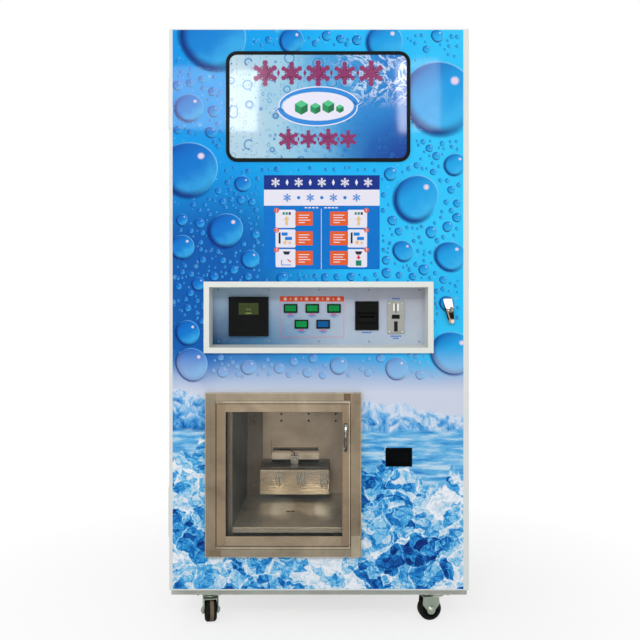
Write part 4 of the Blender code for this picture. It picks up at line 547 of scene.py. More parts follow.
def lcd_material():
    """Olive liquid crystal window with two rows of faint character cells."""
    m = Nodes("lcd_window", {"Coat Weight": 0.1, "Coat Roughness": 0.04, "Roughness": 0.3, "Specular IOR Level": 0.1})
    place = m.coords()
    x, z = node_share(place, "display_lens")
    cell = m.add("TexBrick", {
        "Vector": m.add("CombineXYZ", {"X": place.x, "Y": place.z}, 0), "Scale": 1.0, "Color1": (0, 0, 0, 1),
        "Color2": (0.1, 0.1, 0.1, 1), "Mortar": (1, 1, 1, 1), "Mortar Size": 0.0006, "Brick Width": 0.0034,
        "Row Height": 0.0068,
    }, "Color", offset=0.0)
    lit = (z > 0.2) * (z < 0.82) * (abs(x - 0.5) < 0.43)
    ground = m.mix(m.noise(place, 30, 3.0).span(0.3, 0.7), rgb(46, 58, 22), rgb(62, 74, 30))
    return m.done(m.mix(lit * (1.0 - (cell > 0.5)) * 0.35, ground, rgb(34, 44, 20)))


def fascia_material():
    """Printed fascia: teal grey on the left to violet grey on the right, deep teal at the lower left."""
    m = Nodes("fascia_print", {"Coat Weight": 0.06, "Coat Roughness": 0.14, "Specular IOR Level": 0.1})
    place = m.coords()
    x, z = node_share(place, "control_plate")
    top = m.ramp(x, [(0.0, rgb(142, 170, 194)), (0.5, rgb(170, 180, 198)), (1.0, rgb(176, 178, 190))])
    bottom = m.ramp(x, [(0.0, rgb(0, 70, 118)), (0.26, rgb(60, 120, 162)), (0.62, rgb(170, 188, 208)),
                        (1.0, rgb(184, 196, 212))])
    body = m.mix(z.ease(0.08, 0.9), bottom, top)
    body = m.mix(m.noise(place, 18, 4.0).span(0.35, 0.75, 0.0, 0.07), body, (1, 1, 1, 1))
    return m.done(body, m.noise(place, 40, 4.0).span(0.3, 0.7, 0.3, 0.42),
                  m.bump(m.noise(place, 480, 2.0), 0.00005, 0.5))


def sign_material():
    """Printed acrylic: silver blue, azure to the right, deep at the lower right, with fine drops."""
    m = Nodes("sign_print", {"Coat Weight": 0.32, "Coat Roughness": 0.05, "Roughness": 0.4,
                             "Specular IOR Level": 0.0})
    place = m.coords()
    x, z = node_share(place, "sign_panel")
    body = m.ramp(x * 0.75 + m.noise(place, 7, 4.0, 0.6, 0.8) * 0.35, [
        (0.15, rgb(190, 212, 222)), (0.42, rgb(146, 196, 222)), (0.62, rgb(72, 158, 212)), (0.8, rgb(36, 130, 204)),
        (0.95, rgb(22, 104, 188)),
    ])
    body = m.mix(x.ease(0.45, 1.0) * z.ease(0.55, 0.0), body, rgb(10, 62, 150))
    swirl = m.noise(place, 13, 6.0, 0.66, 1.8).near(0.5, 0.06, 0.0)
    crest = swirl * (x.ease(0.5, 0.8) * z.ease(0.45, 0.7))
    body = m.mix(crest * 0.8, body, rgb(236, 244, 250))
    for scale, size in ((22, 0.42), (50, 0.38), (105, 0.34)):
        flat = m.stretch(place, (1.0, 0.0, 1.0))
        chance = m.cells(flat, scale, "Color").x.span(0.3, 1.0, 0.0, size)
        rim = abs(chance - m.cells(flat, scale)).span(0.07, 0.01)
        body = m.mix(chance.span(0.05, 0.16) * (rim * 0.85), body, rgb(24, 116, 184))
    return m.done(body)


def shelf_steel():
    """The shelf of worn stainless, with two lighter patches painted on it as highlights."""
    m = Nodes("shelf_steel", {"Specular IOR Level": 0.3})
    place = m.coords()
    grain = m.noise(m.stretch(place, (220, 9, 220)), 1.0, 3.0, 0.6)
    smear = m.noise(place, 9, 5.0, 0.62, 0.8).span(0.3, 0.72)
    body = m.mix(smear, rgb(170, 156, 130), rgb(208, 194, 168))
    body = m.mix(grain.span(0.35, 0.65) * 0.2, body, rgb(236, 224, 200))
    bare = 0.62
    # painted highlights: two lighter patches on the shelf
    for x, y, wide, long in ((-0.135, -0.16, 0.055, 0.22), (0.022, -0.16, 0.050, 0.22)):
        near, deep = (place.x - x) * (1 / wide), (place.y - y) * (1 / long)
        highlight_patch = (near * near + deep * deep).ease(1.0, 0.1) * smear.span(0.0, 1.0, 0.55, 1.0)
        body = m.mix(highlight_patch, body, rgb(255, 244, 214))
        bare = bare - highlight_patch * 0.3
    return m.done(body, smear.span(0.0, 1.0, 0.44, 0.34), m.bump(grain, 0.00002, 0.5), Metallic=bare)


def dress(material, *names):
    """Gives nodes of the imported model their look."""
    for name in names:
        NODES[name].data.materials.clear()
        NODES[name].data.materials.append(material)


def split_at(node, rail):
    """The middle of a node and the reach beyond which its upright rails begin."""
    low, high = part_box(node)
    return (low.x + high.x) / 2, (high.x - low.x) / 2 - rail


def dress_cad():
    dress(painted("white_powder_coat", WHITE_PAINT), "left_side_panel", "right_side_panel", "top_panel", "rear_panel",
          "front_jamb", "lower_hinge_fixed", "upper_hinge_fixed", "lower_hinge_door", "upper_hinge_door", "sign_box",
          "control_bezel")
    dress(painted("grey_powder_coat", (198, 202, 192), 0.45, 0.16), "base_frame", "control_box")
    dress(wrap_material(), "door_skin")
    dress(moulded("black_rubber", (16, 18, 17), 0.5, 700, 0.00008), "sign_trim", "door_gasket")
    dress(sign_material(), "sign_panel")
    dress(fascia_material(), "control_plate")
    dress(moulded("black_plastic", (12, 14, 13), 0.4, 800, 0.00005), "card_reader", "bill_acceptor", "bag_sensor",
          *(f"button_bezel_{n}" for n in range(1, 6)))
    dress(moulded("deep_black_plastic", (4, 7, 9), 0.2, 300, 0.00002, shine=0.02), "window_insert")
    dress(moulded("return_button_plastic", (30, 32, 34), 0.3), "coin_return_button")
    dress(lcd_material(), "display_lens")
    dress(moulded("green_cap", (4, 130, 62), 0.22, 400, 0.00002, 0.06), *(f"button_cap_{n}" for n in range(1, 5)))
    dress(moulded("blue_cap", (4, 80, 138), 0.22, 400, 0.00002, 0.06), "button_cap_5")
    dress(stainless("frame_steel", (142, 131, 113), "X", 0.32, split_at("hatch_frame", 0.036), 0.17), "hatch_frame")
    dress(stainless("leaf_steel", (146, 131, 111), "X", 0.34, split_at("hatch_leaf", 0.03), 0.17), "hatch_leaf")
    # painted shade on the compartment's side faces
    dress(stainless("box_steel", (112, 100, 84), "Z", 0.36, side_shade=(0.30, 0.26, 0.20)), "compartment_box")
    dress(shelf_steel(), "compartment_shelf")
    dress(stainless("panel_steel", (160, 143, 122), "X", 0.38), "chute_panel")
    dress(stainless("coin_plate_steel", (134, 136, 130), "Z", 0.3), "coin_acceptor")
    dress(stainless("hood_steel", (150, 136, 116), "X", 0.26, cloud=0.16, lines=0.02, depth=0.00001, lid=0.75),
          "chute_hood")
    dress(stainless("inner_steel", (178, 178, 176), "X", 0.32), "auger", "ice_maker")
    dress(chrome("chrome_painted_reflection"), "hatch_handle", "lock_rose")
    dress(lock_chrome(), "lock_handle")
    dress(metal("zinc_plate", (150, 160, 148), 0.36, 0.35), "lock_cam", "auger_gearmotor", "front_left_caster_plate",
          "front_right_caster_plate", *(f"{corner}_caster_fork" for corner in CASTERS))
    dress(moulded("wheel_tread", (20, 20, 19), 0.62, 420, 0.00012, 0.0, 1.2),
          *(f"{corner}_wheel" for corner in CASTERS))
    dress(moulded("bin_plastic", (214, 218, 220), 0.5, 500, 0.0001, 0.0, 0.04), "ice_bin")
    dress(glass_material(), "hatch_glass")


# ---- mesh helpers
SEAT = 0.00001  # how far the back of a flat trim stands off the face under it
HEAD_SEAT = 0.00002  # the same for screws and other turned heads
INK_THICKNESS = 0.00012
FORWARD = (0, -1, 0)


def piece(name, bm, material, body, smooth=False, outward=True):
    """The object of a finished bmesh, dressed and riding on its body."""
    if outward:
        bmesh.ops.recalc_face_normals(bm, faces=bm.faces)
    data = bpy.data.meshes.new(name)
    bm.to_mesh(data)
    bm.free()
    for face in data.polygons:
        face.use_smooth = smooth
    data.materials.append(material)
    return riding(linked(name, data), body)


def skin(bm, rows, closed=False):
    """Faces between rows of as many vertices, each row a closed line."""
    following = rows[1:] + rows[:1] if closed else rows[1:]
    for first, second in zip(rows, following):
        for i in range(len(first)):
            j = (i + 1) % len(first)
            bm.faces.new((first[i], first[j], second[j], second[i]))


def slab(bm, outline, back, front):
    """A flat plate from an outline of (x, z), from depth back to depth front, front being the lower y."""
    rows = [[bm.verts.new((x, y, z)) for x, z in outline] for y in (front, back)]
    skin(bm, rows)
    for row in rows:
        bm.faces.new(row)


def rounded(low, high, radius=0.0, steps=5):
    """The (x, z) outline of a rectangle with round corners."""
    if not radius:
        return [(low[0], low[1]), (high[0], low[1]), (high[0], high[1]), (low[0], high[1])]
    left, right, bottom, top = low[0] + radius, high[0] - radius, low[1] + radius, high[1] - radius
    return [polar(centre, math.pi / 2 * (quarter + step / steps), radius)
            for quarter, centre in enumerate(((right, top), (left, top), (left, bottom), (right, bottom)))
            for step in range(steps + 1)]


def grown(low, high, margin, radius=0.0, steps=5):
    """The outline of a box's front, grown by a margin, or shrunk by a negative one."""
    return rounded((low[0] - margin, low[-1] - margin), (high[0] + margin, high[-1] + margin), radius, steps)


def ring(bm, outer, inner, back, front):
    """A plate with a hole: two outlines of as many points."""
    skin(bm, [[bm.verts.new((x, y, z)) for x, z in line]
              for line, y in ((outer, front), (inner, front), (inner, back), (outer, back))], closed=True)


def around(count):
    """The angles of points set evenly about a circle."""
    return [2 * math.pi * k / count for k in range(count)]


def polar(centre, angle, wide, high=None):
    """The point of a circle or an ellipse in the plane at an angle."""
    return centre[0] + wide * math.cos(angle), centre[1] + (wide if high is None else high) * math.sin(angle)


def spoke(angle, radius, height):
    return Vector((radius * math.cos(angle), radius * math.sin(angle), height))


def upright_to(direction):
    """The rotation that brings what stands up to a direction."""
    return Vector((0, 0, 1)).rotation_difference(Vector(direction)).to_matrix().to_4x4()


def lathe(bm, profile, centre, direction=FORWARD, sides=20):
    """A turned form: profile of (radius, height along direction) about centre."""
    turn = upright_to(direction)
    rings = [[bm.verts.new(Vector(centre) + turn @ spoke(angle, radius, height))
              for angle in (around(sides) if radius else [0])] for radius, height in profile]
    for first, second in zip(rings, rings[1:]):
        for i in range(sides):
            j = (i + 1) % sides
            places = [line[k % len(line)] for line, k in ((first, i), (first, j), (second, j), (second, i))]
            places = list(dict.fromkeys(places))
            if len(places) > 2:
                bm.faces.new(places)
    for last in (rings[0], rings[-1]):
        if len(last) > 1:
            bm.faces.new(last)


def plates(name, outlines, back, front, material, body):
    """One piece of flat plates, their backs and fronts at two depths."""
    bm = bmesh.new()
    for outline in outlines:
        slab(bm, outline, back, front)
    return piece(name, bm, material, body)


def trim(name, outlines, face, proud, material, body):
    """Flat trim on a face that looks to the front."""
    return plates(name, outlines, face - SEAT, face - proud, material, body)


def turnings(name, profile, spots, sides, material, body, smooth=True):
    """One piece of like turned forms, each at a place and along a direction."""
    bm = bmesh.new()
    for place, direction in spots:
        lathe(bm, profile, place, direction, sides)
    return piece(name, bm, material, body, smooth)


def rim(name, outer, inner, back, front, material, body, slot=None):
    """One piece that is a flat frame."""
    bm = bmesh.new()
    ring(bm, outer, inner, back, front)
    return piece(name, bm, material, body)


def prints(name, outlines, material, face):
    """Flat printed shapes on the door whose front lies at depth face."""
    return plates(name, outlines, face + INK_THICKNESS, face, material, DOOR)


def number(name, value, size, place, extrude, material):
    """Plain figures that stand upright and look to the front."""
    text = bpy.data.curves.new(name, "FONT")
    text.body = value
    text.size = size
    text.align_x, text.align_y = "CENTER", "CENTER"
    text.extrude = extrude
    text.materials.append(material)
    made = linked(name, text, place)
    made.rotation_euler = (math.radians(90), 0, 0)
    riding(made, DOOR)


# ---- printed film: bubbles
FILM = FRONT - 0.00012
CLOSED = [  # x and z ranges where no bubble may show: sign, recess, hatch, small window, lock, plate
    (-0.315, 0.308, 1.512, 1.895), (-0.372, 0.369, 0.902, 1.127), (-0.385, 0.150, 0.220, 0.780),
    (0.205, 0.316, 0.515, 0.600), (0.395, 0.445, 0.985, 1.085), (-0.190, 0.200, 1.165, 1.488),
]
SIGN_MARGINS = (0.012, -0.012, 0.012, -0.012)
LARGE_BUBBLES = [  # x, z, radius; a layout of its own, cut off by the edges of the film and the sign
    (-0.425, 1.500, 0.092), (-0.345, 1.930, 0.105), (0.395, 1.735, 0.118), (0.215, 1.915, 0.060),
    (0.318, 1.405, 0.074), (-0.305, 1.300, 0.056), (-0.448, 1.245, 0.040), (0.430, 1.215, 0.050),
    (0.275, 1.232, 0.034), (-0.225, 1.205, 0.030), (-0.090, 1.920, 0.040), (0.445, 1.515, 0.036),
    (-0.425, 1.700, 0.046), (-0.250, 1.452, 0.026), (0.420, 1.060, 0.026), (-0.430, 0.965, 0.040),
    (-0.395, 1.125, 0.022), (0.235, 1.485, 0.022), (-0.120, 1.145, 0.018), (0.105, 1.148, 0.014),
    (0.438, 0.900, 0.070), (-0.415, 0.862, 0.052), (0.255, 0.848, 0.036), (0.065, 0.858, 0.028),
    (-0.230, 0.852, 0.024),
]
SMALL_BUBBLES = [(60, 0.010, 0.021), (260, 0.004, 0.009)]  # how many, and their least and largest radius


def bubble_material():
    """One bubble: dark at its lower left rim, clear at the lower right, a light spot at the upper right."""
    m = Nodes("printed_bubble", {"Coat Weight": 0.1, "Coat Roughness": 0.05, "Roughness": 0.3,
                                 "Specular IOR Level": 0.02})
    spot = m.add("Attribute", output="Vector", attribute_name="spot")
    u, v, place = spot.x, spot.y, m.coords()
    flat = m.add("CombineXYZ", {"X": u, "Y": v}, 0)
    radius = m.length(flat)
    warp = m.noise(m.vector("ADD", flat, place), 1.7, 2.0)

    def toward(x, z):
        return u * x + v * z

    def blend(body, share, colour):
        return m.mix(share, body, rgb(*colour))

    body = m.mix(spot.z, rgb(10, 112, 200), rgb(34, 164, 228))
    lower = (toward(0.5, -0.7) + warp.span(0.3, 0.7, -0.15, 0.15)).ease(-0.1, 0.8)
    body = blend(body, lower * 0.6, (70, 190, 240))
    body = blend(body, toward(-0.45, 0.75).ease(0.1, 0.95) * 0.75, (6, 84, 178))
    edge = radius.ease(0.70, 0.985) * toward(-0.72, -0.62).span(-0.45, 0.6)
    body = blend(body, edge * 0.92, (6, 34, 118))
    line = radius.ease(0.93, 0.985) * toward(0.6, 0.7).span(0.1, 0.9)
    body = blend(body, line * 0.7, (150, 220, 250))
    body = blend(body, place.z.ease(0.93, 0.83, 0.0, 0.55), (170, 194, 224))
    glint = m.vector("DISTANCE", flat, (0.42, 0.46, 0), "Value")
    body = blend(body, glint.span(0.14, 0.07), (226, 208, 228))
    outside = radius > 0.99
    body = blend(body, outside, (8, 54, 140))
    shade = radius.ease(1.16, 0.99) * toward(-0.7, -0.72).span(-0.2, 0.9)
    return m.done(body, Alpha=m.math("MAXIMUM", 1.0 - outside, shade * 0.75))


def clear_of_closed(x, z, reach):
    return all(x + reach < a or x - reach > b or z + reach < c or z - reach > d for a, b, c, d in CLOSED)


def scattered_bubbles():
    """Middle and small bubbles, kept clear of each other and of what stands on the door."""
    placed = list(LARGE_BUBBLES)
    for count, low, high in SMALL_BUBBLES:
        tries = 0
        made = 0
        while made < count and tries < 6000:
            tries += 1
            x, z = RANDOM.uniform(-0.465, 0.458), RANDOM.uniform(0.82, 1.94)
            if z < 0.92 and RANDOM.random() < 0.5:
                continue
            radius = RANDOM.uniform(low, high)
            if not clear_of_closed(x, z, radius * 1.2):
                continue
            if any(math.hypot(x - a, z - b) < radius * 1.25 + c * 1.15 for a, b, c in placed):
                continue
            placed.append((x, z, radius))
            made += 1
    return placed


def cut_away(bm, faces, plane, normal):
    """Cuts what lies past a plane off some faces, and returns the faces that are left."""
    parts = {edge for face in faces for edge in face.edges} | {vert for face in faces for vert in face.verts}
    found = bmesh.ops.bisect_plane(bm, geom=[*faces, *parts], plane_co=plane, plane_no=normal, clear_outer=True)
    return [g for g in found["geom"] if isinstance(g, bmesh.types.BMFace)]


def bubble(bm, spot, index, x, z, radius):
    """The faces of one bubble and of the shadow about it, with its place in each vertex's spot."""
    tone = min(1.0, max(0.0, (x + 0.5) + 0.12 * math.sin(index * 2.3)))
    sides = 48 if radius > 0.03 else 28 if radius > 0.01 else 16
    wobble = 0.03 + 0.02 * math.sin(index * 1.9)
    centre = bm.verts.new((x, FILM, z))
    centre[spot] = (0, 0, tone)
    lines = [[centre] * sides]
    for share in (0.35, 0.7, 0.9, 1.0, 1.16):
        line = []
        for angle in around(sides):
            reach = radius * share * (1 + wobble * math.cos(2 * angle + index) + 0.4 * wobble * math.sin(3 * angle))
            across, up = polar((x, z), angle, reach)
            vert = bm.verts.new((across, FILM, up))
            vert[spot] = (*polar((0, 0), angle, share), tone)
            line.append(vert)
        lines.append(line)
    faces = []
    for inner, outer in zip(lines, lines[1:]):
        for k in range(sides):
            corners = dict.fromkeys((inner[k], inner[(k + 1) % sides], outer[(k + 1) % sides], outer[k]))
            faces.append(bm.faces.new(list(corners)))
    return faces


def build_bubbles():
    bm = bmesh.new()
    spot = bm.verts.layers.float_vector.new("spot")
    left, right, bottom, top = (edge + margin for edge, margin in zip(CLOSED[0], SIGN_MARGINS))
    edges = (((WRAP_LEFT, 0, 0), (-1, 0, 0)), ((WRAP_RIGHT, 0, 0), (1, 0, 0)), ((0, 0, WRAP_TOP), (0, 0, 1)))
    for index, (x, z, radius) in enumerate(scattered_bubbles()):
        faces = bubble(bm, spot, index, x, z, radius)
        for plane, normal in edges:
            faces = cut_away(bm, faces, plane, normal)
        for face in faces:
            if all(left < v.co.x < right and bottom < v.co.z < top for v in face.verts):
                bm.faces.remove(face)
    for face in bm.faces:
        face.normal_update()
        if face.normal.y > 0:
            face.normal_flip()
    piece("film_bubbles", bm, bubble_material(), DOOR, outward=False)


# ---- generic motifs in the places of lettering
def crystal_outline(centre, radius, width=0.055):
    """One closed outline of a six-armed snow crystal, with two pairs of branches on each arm."""
    half = [(0.24, width), (0.36, width), (0.50, 0.27), (0.64, 0.24), (0.55, width), (0.70, width), (0.80, 0.22),
            (0.93, 0.19), (0.86, width), (1.0, width)]
    arm = [(along, -across) for along, across in half] + [(along, across) for along, across in reversed(half)]
    return [(centre[0] + radius * (along * math.cos(angle) - across * math.sin(angle)),
             centre[1] + radius * (along * math.sin(angle) + across * math.cos(angle)))
            for angle in (math.pi / 2 + a for a in around(6)) for along, across in arm]


def diamond(centre, width, height):
    x, z = centre
    return [(x - width / 2, z), (x, z - height / 2), (x + width / 2, z), (x, z + height / 2)]


def ellipse(centre, wide, high, sides=56):
    return [polar(centre, angle, wide, high) for angle in around(sides)]


def swoosh(centre, wide, high, start, end, thick):
    """A crescent stroke along an ellipse that tapers to a point at its start and ends in a barb."""
    outer, inner = [], []
    for share in (i / SWOOSH_STEPS for i in range(SWOOSH_STEPS + 1)):
        angle = start + (end - start) * share
        swell = thick * math.sin(math.pi * min(1.0, share * 0.62 + 0.02))
        outer.append(polar(centre, angle, wide + swell, high + swell * 0.8))
        inner.append(polar(centre, angle, wide - swell * 0.3, high - swell * 0.3))
    tip = polar(centre, end + 0.16 * (1 if end > start else -1), wide + thick * 0.3, high + thick * 0.3)
    x, z = outer[-1]
    barb = (x + (x - centre[0]) * 0.10, z + (z - centre[1]) * 0.16)
    return outer + [barb, tip] + list(reversed(inner))


def cube_faces(centre, size):
    """The three faces of a small ice cube seen from above a corner."""
    x, z = centre
    wide, high = size * 0.87, size * 0.5
    top = [(x, z + size), (x - wide, z + high), (x, z), (x + wide, z + high)]
    left = [(x - wide, z + high), (x - wide, z - high), (x, z - size), (x, z)]
    right = [(x + wide, z + high), (x, z), (x, z - size), (x + wide, z - high)]
    return top, left, right


SWOOSH_STEPS = 28
SIGN_INKS = [("maroon_ink", (134, 38, 96)), ("lilac_ink", (226, 224, 240)), ("blue_ink", (28, 132, 214)),
             ("green_ink_0", (74, 190, 130)), ("green_ink_1", (16, 140, 84)), ("green_ink_2", (10, 108, 66))]
SIGN_CUBES = [((-0.058, 1.700), 0.024), ((-0.012, 1.697), 0.019), ((0.030, 1.703), 0.022), ((0.068, 1.696), 0.014)]


def build_sign_motif():
    """Two rows of crystals and an oval ring with ice cubes, in the places of the sign's lettering."""
    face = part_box("sign_panel")[0].y - 0.00025
    inks = {name: printed(name, colour, 0.3, 0.32) for name, colour in SIGN_INKS}
    high_row = [(-0.176 + 0.0865 * i, 1.812) for i in range(5)]
    low_row = [(-0.100 + 0.0650 * i, 1.597) for i in range(4)]
    shapes = [crystal_outline(place, 0.037 if i % 2 else 0.042, 0.16) for i, place in enumerate(high_row)]
    shapes += [crystal_outline(place, 0.029 if i % 2 else 0.034, 0.165) for i, place in enumerate(low_row)]
    for row, rise, wide, tall in ((high_row, 0.001, 0.010, 0.026), (low_row, 0.0, 0.007, 0.018)):
        shapes += [diamond(((a[0] + b[0]) / 2, a[1] + rise), wide, tall) for a, b in zip(row, row[1:])]
    prints("sign_crystals", shapes, inks["maroon_ink"], face)
    middle = (-0.003, 1.704)
    prints("sign_oval", [ellipse(middle, 0.116, 0.047)], inks["lilac_ink"], face)
    strokes = [swoosh(middle, 0.122, 0.052, math.radians(start), math.radians(end), 0.013) for start, end in
               ((200, 12), (20, -168))]
    wider = [[(middle[0] + (x - middle[0]) * 1.03, middle[1] + (z - middle[1]) * 1.06) for x, z in stroke]
             for stroke in strokes]
    prints("sign_swoosh_edges", wider, inks["lilac_ink"], face - 0.00012)
    prints("sign_swooshes", strokes, inks["blue_ink"], face - 0.00024)
    for index, outlines in enumerate(zip(*(cube_faces(*cube) for cube in SIGN_CUBES))):
        prints(f"sign_cubes_{index + 1}", outlines, inks[f"green_ink_{index}"], face - 0.00036)


# ---- instruction plate, laid out in the photo's pixels
PLATE_LEFT, PLATE_RIGHT = pixel(264.0, 0)[0], pixel(379.6, 0)[0]
PLATE_LEVELS = [pixel(0, row)[1] for row in (175.3, 189.7, 205.7, 269.2)]
PLATE_SEAM = pixel(321.3, 0)[0]
TILE_ROWS = ((209.8, 227.8), (229.5, 247.5), (249.2, 267.2))
TILE_COLUMNS = ((275.6, 295.6), (347.6, 367.1))
BLOCK_COLUMNS = ((295.4, 312.8), (330.1, 347.9))
BADGE_COLUMNS = (276.6, 366.4)
INK_STEP = 0.00014
PLATE_INKS = {
    "navy": ("navy_ink", (14, 46, 132)), "white": ("white_ink", (226, 224, 236)),
    "mid": ("mid_blue_ink", (0, 112, 198)),
    "orange": ("orange_ink", (222, 92, 42)), "green": ("sign_green_ink", (26, 128, 98)),
    "blue": ("sign_blue_ink", (24, 122, 206)), "dark": ("dark_ink", (36, 44, 60)),
    "sand": ("sand_ink", (224, 190, 140)),
    "red": ("red_ink", (214, 40, 52)),
}


def pixel_box(column_a, column_b, row_a, row_b, radius=0.0):
    left, top = pixel(column_a, row_a)
    right, bottom = pixel(column_b, row_b)
    return rounded((left, bottom), (right, top), radius)


def picture_parts(step, column):
    """Plain signs for one step, in pixels from the tile's top left corner: (ink, outline)."""
    left, top = TILE_COLUMNS[column][0], TILE_ROWS[step][0]

    def area(a, b, c, d, radius=0.0):
        return pixel_box(left + a, left + b, top + c, top + d, radius)

    def line(*points):
        return [pixel(left + a, top + b) for a, b in points]

    def coin(a, b, radius):
        return ellipse(pixel(left + a, top + b), radius, radius, 20)

    if step == 0:  # press: a row of buttons and an arrow
        arrow = line((11, 6.2), (14.2, 10.2), (12.3, 10.2), (12.3, 15.6), (9.7, 15.6), (9.7, 10.2), (7.8, 10.2))
        return [("green", area(7.0, 9.2, 2.4, 5.0)), ("green", area(10.0, 12.2, 2.4, 5.0)),
                ("dark", area(13.0, 15.2, 2.4, 5.0)), ("sand", arrow)]
    if step == 1:  # pay: notes and coins before a slot
        return [("blue", area(6.0, 12.0, 3.0, 6.2)), ("blue", area(9.4, 16.4, 7.4, 10.6)),
                ("dark", area(3.0, 5.0, 3.0, 14.0)), ("sand", coin(9.5, 13.0, 0.0062)),
                ("sand", coin(14.0, 13.4, 0.0045))]
    chute = ("dark", line((7.2, 2.2), (14.8, 2.2), (13.2, 5.4), (8.8, 5.4)))
    if column:  # take: a bag under the chute
        arrow = line((10, 6.2), (12, 6.2), (12, 8.0), (13.4, 8.0), (11, 10.4), (8.6, 8.0), (10, 8.0))
        return [chute, ("red", arrow), ("green", area(8.2, 13.8, 11.2, 16.6, 0.002))]
    tray = line((5.6, 10.6), (6.4, 10.6), (6.4, 15.4), (15.6, 15.4), (15.6, 16.2), (5.6, 16.2))
    return [chute, ("red", line((12.2, 9.8), (15.6, 12.4), (14.8, 13.2), (11.6, 10.6))), ("blue", tray)]


def plate_grounds():
    """The plate's coloured fields: (ink, outline)."""
    top, middle, low, bottom = PLATE_LEVELS
    fields = [("navy", rounded((PLATE_LEFT, middle), (PLATE_RIGHT, top))),
              ("white", rounded((PLATE_LEFT, low), (PLATE_RIGHT, middle))),
              ("white", rounded((PLATE_SEAM - 0.0008, bottom), (PLATE_SEAM + 0.0008, low - 0.010)))]
    fields += [("white", pixel_box(*column, *rows, 0.005)) for column in TILE_COLUMNS for rows in TILE_ROWS]
    return fields + [("orange", pixel_box(*column, rows[0] + 1.8, rows[1] - 2.2, 0.002))
                     for column in BLOCK_COLUMNS for rows in TILE_ROWS]


def plate_marks():
    """What stands on the fields: (ink, outline)."""
    top, middle, low, _ = PLATE_LEVELS
    marks = []
    for i in range(9):
        x, z = PLATE_LEFT + (i + 1) * (PLATE_RIGHT - PLATE_LEFT) / 10, (top + middle) / 2
        shape = diamond((x, z), 0.010, 0.022) if i % 2 else crystal_outline((x, z), 0.0150, 0.09)
        marks.append(("white", shape))
        z = (middle + low) / 2
        if 0 < i < 8:
            shape = crystal_outline((x, z), 0.0135, 0.08) if i % 2 else ellipse((x, z), 0.0055, 0.0055, 20)
            marks.append(("blue", shape))
    for i in range(4):
        for side in (-1, 1):
            x = PLATE_SEAM + side * (0.014 + 0.012 * i)
            marks.append(("white", rounded((x - 0.0042, low - 0.0085), (x + 0.0042, low - 0.0050))))
    for column in BLOCK_COLUMNS:
        for rows in TILE_ROWS:
            for line, short in enumerate((1.5, 3.0, 0.5, 6.0)):
                row = rows[0] + 5.0 + 2.5 * line
                marks.append(("white", pixel_box(column[0] + 3.2, column[1] - 2.0 - short, row, row + 0.75)))
    return marks + [part for step in range(3) for column in range(2) for part in picture_parts(step, column)]


def build_instruction_plate():
    """The sheet that shows how the machine is used, with plain signs and numbers and no lettering."""
    back = FRONT - 0.0002
    sheet = back - 0.0005
    inks = {key: printed(*ink) for key, ink in PLATE_INKS.items()}
    outline = rounded((PLATE_LEFT, PLATE_LEVELS[3]), (PLATE_RIGHT, PLATE_LEVELS[0]), 0.002, 3)
    plates("plate_sheet", [outline], back, sheet, inks["mid"], DOOR)
    for layer, (prefix, shapes) in enumerate((("plate", plate_grounds()), ("plate_marks", plate_marks())), 1):
        for key, ink in inks.items():
            outlines = [outline for name, outline in shapes if name == key]
            if outlines:
                prints(f"{prefix}_{key}", outlines, ink, sheet - layer * INK_STEP)
    radius, face = 0.0082, sheet - 3 * INK_STEP
    for column, edge in enumerate(BADGE_COLUMNS, 1):
        for value, rows in enumerate(TILE_ROWS, 1):
            x, z = pixel(edge, rows[0] + 0.6)
            name = f"badge_{column}_{value}"
            prints(f"{name}_disc", [ellipse((x, z), radius, radius, 24)], inks["orange"], face)
            number(f"{name}_number", str(value), radius * 1.9, (x, face - 0.00008, z), 0.00005, inks["white"])


# ---- control recess
def pan_head(bm, centre, radius, direction, proud):
    """A pan-head screw with a cross recess, its flat under face on centre."""
    profile = ((1, 0), (1, 0.35), (0.86, 0.75), (0.55, 1), (0, 1))
    lathe(bm, [(radius * wide, proud * high) for wide, high in profile], centre, direction)
    turn = upright_to(direction)
    for along, across in ((0.62, 0.13), (0.13, 0.62)):
        low, high = [[
            bm.verts.new(Vector(centre) + turn @ Vector((a * reach * radius, b * reach * radius, proud * height)))
            for a, b in ((-along, -across), (along, -across), (along, across), (-along, across))
        ] for reach, height in ((1, 0.9), (0.9, 1.06))]
        bm.faces.new(high)
        skin(bm, [low, high])


def screws(name, places, direction, body, material, radius=0.0042, proud=0.0018):
    bm = bmesh.new()
    for place in places:
        pan_head(bm, place, radius, direction, proud)
    piece(name, bm, material, body, True)


def corners(low, high, inset):
    """Four places for screws, inset from the corners of a box's front."""
    heights = (low.z + inset, high.z - inset)
    return [(x, low.y - HEAD_SEAT, z) for x in (low.x + inset, high.x - inset) for z in heights]


def caption(centre, widths, height=0.0024, pitch=0.0040):
    """Short bars in rows, in the place of a line of small print."""
    bars = []
    for row, (count, width) in enumerate(widths):
        left = centre[0] - (count * width + (count - 1) * 0.0011) / 2
        low = centre[1] - row * pitch
        bars += [rounded((x, low - height / 2), (x + width, low + height / 2))
                 for x in (left + i * (width + 0.0011) for i in range(count))]
    return bars


def node_front(name):
    """The middle, foot and head of a node's box, seen from the front."""
    low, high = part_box(name)
    return (low.x + high.x) / 2, low.z, high.z


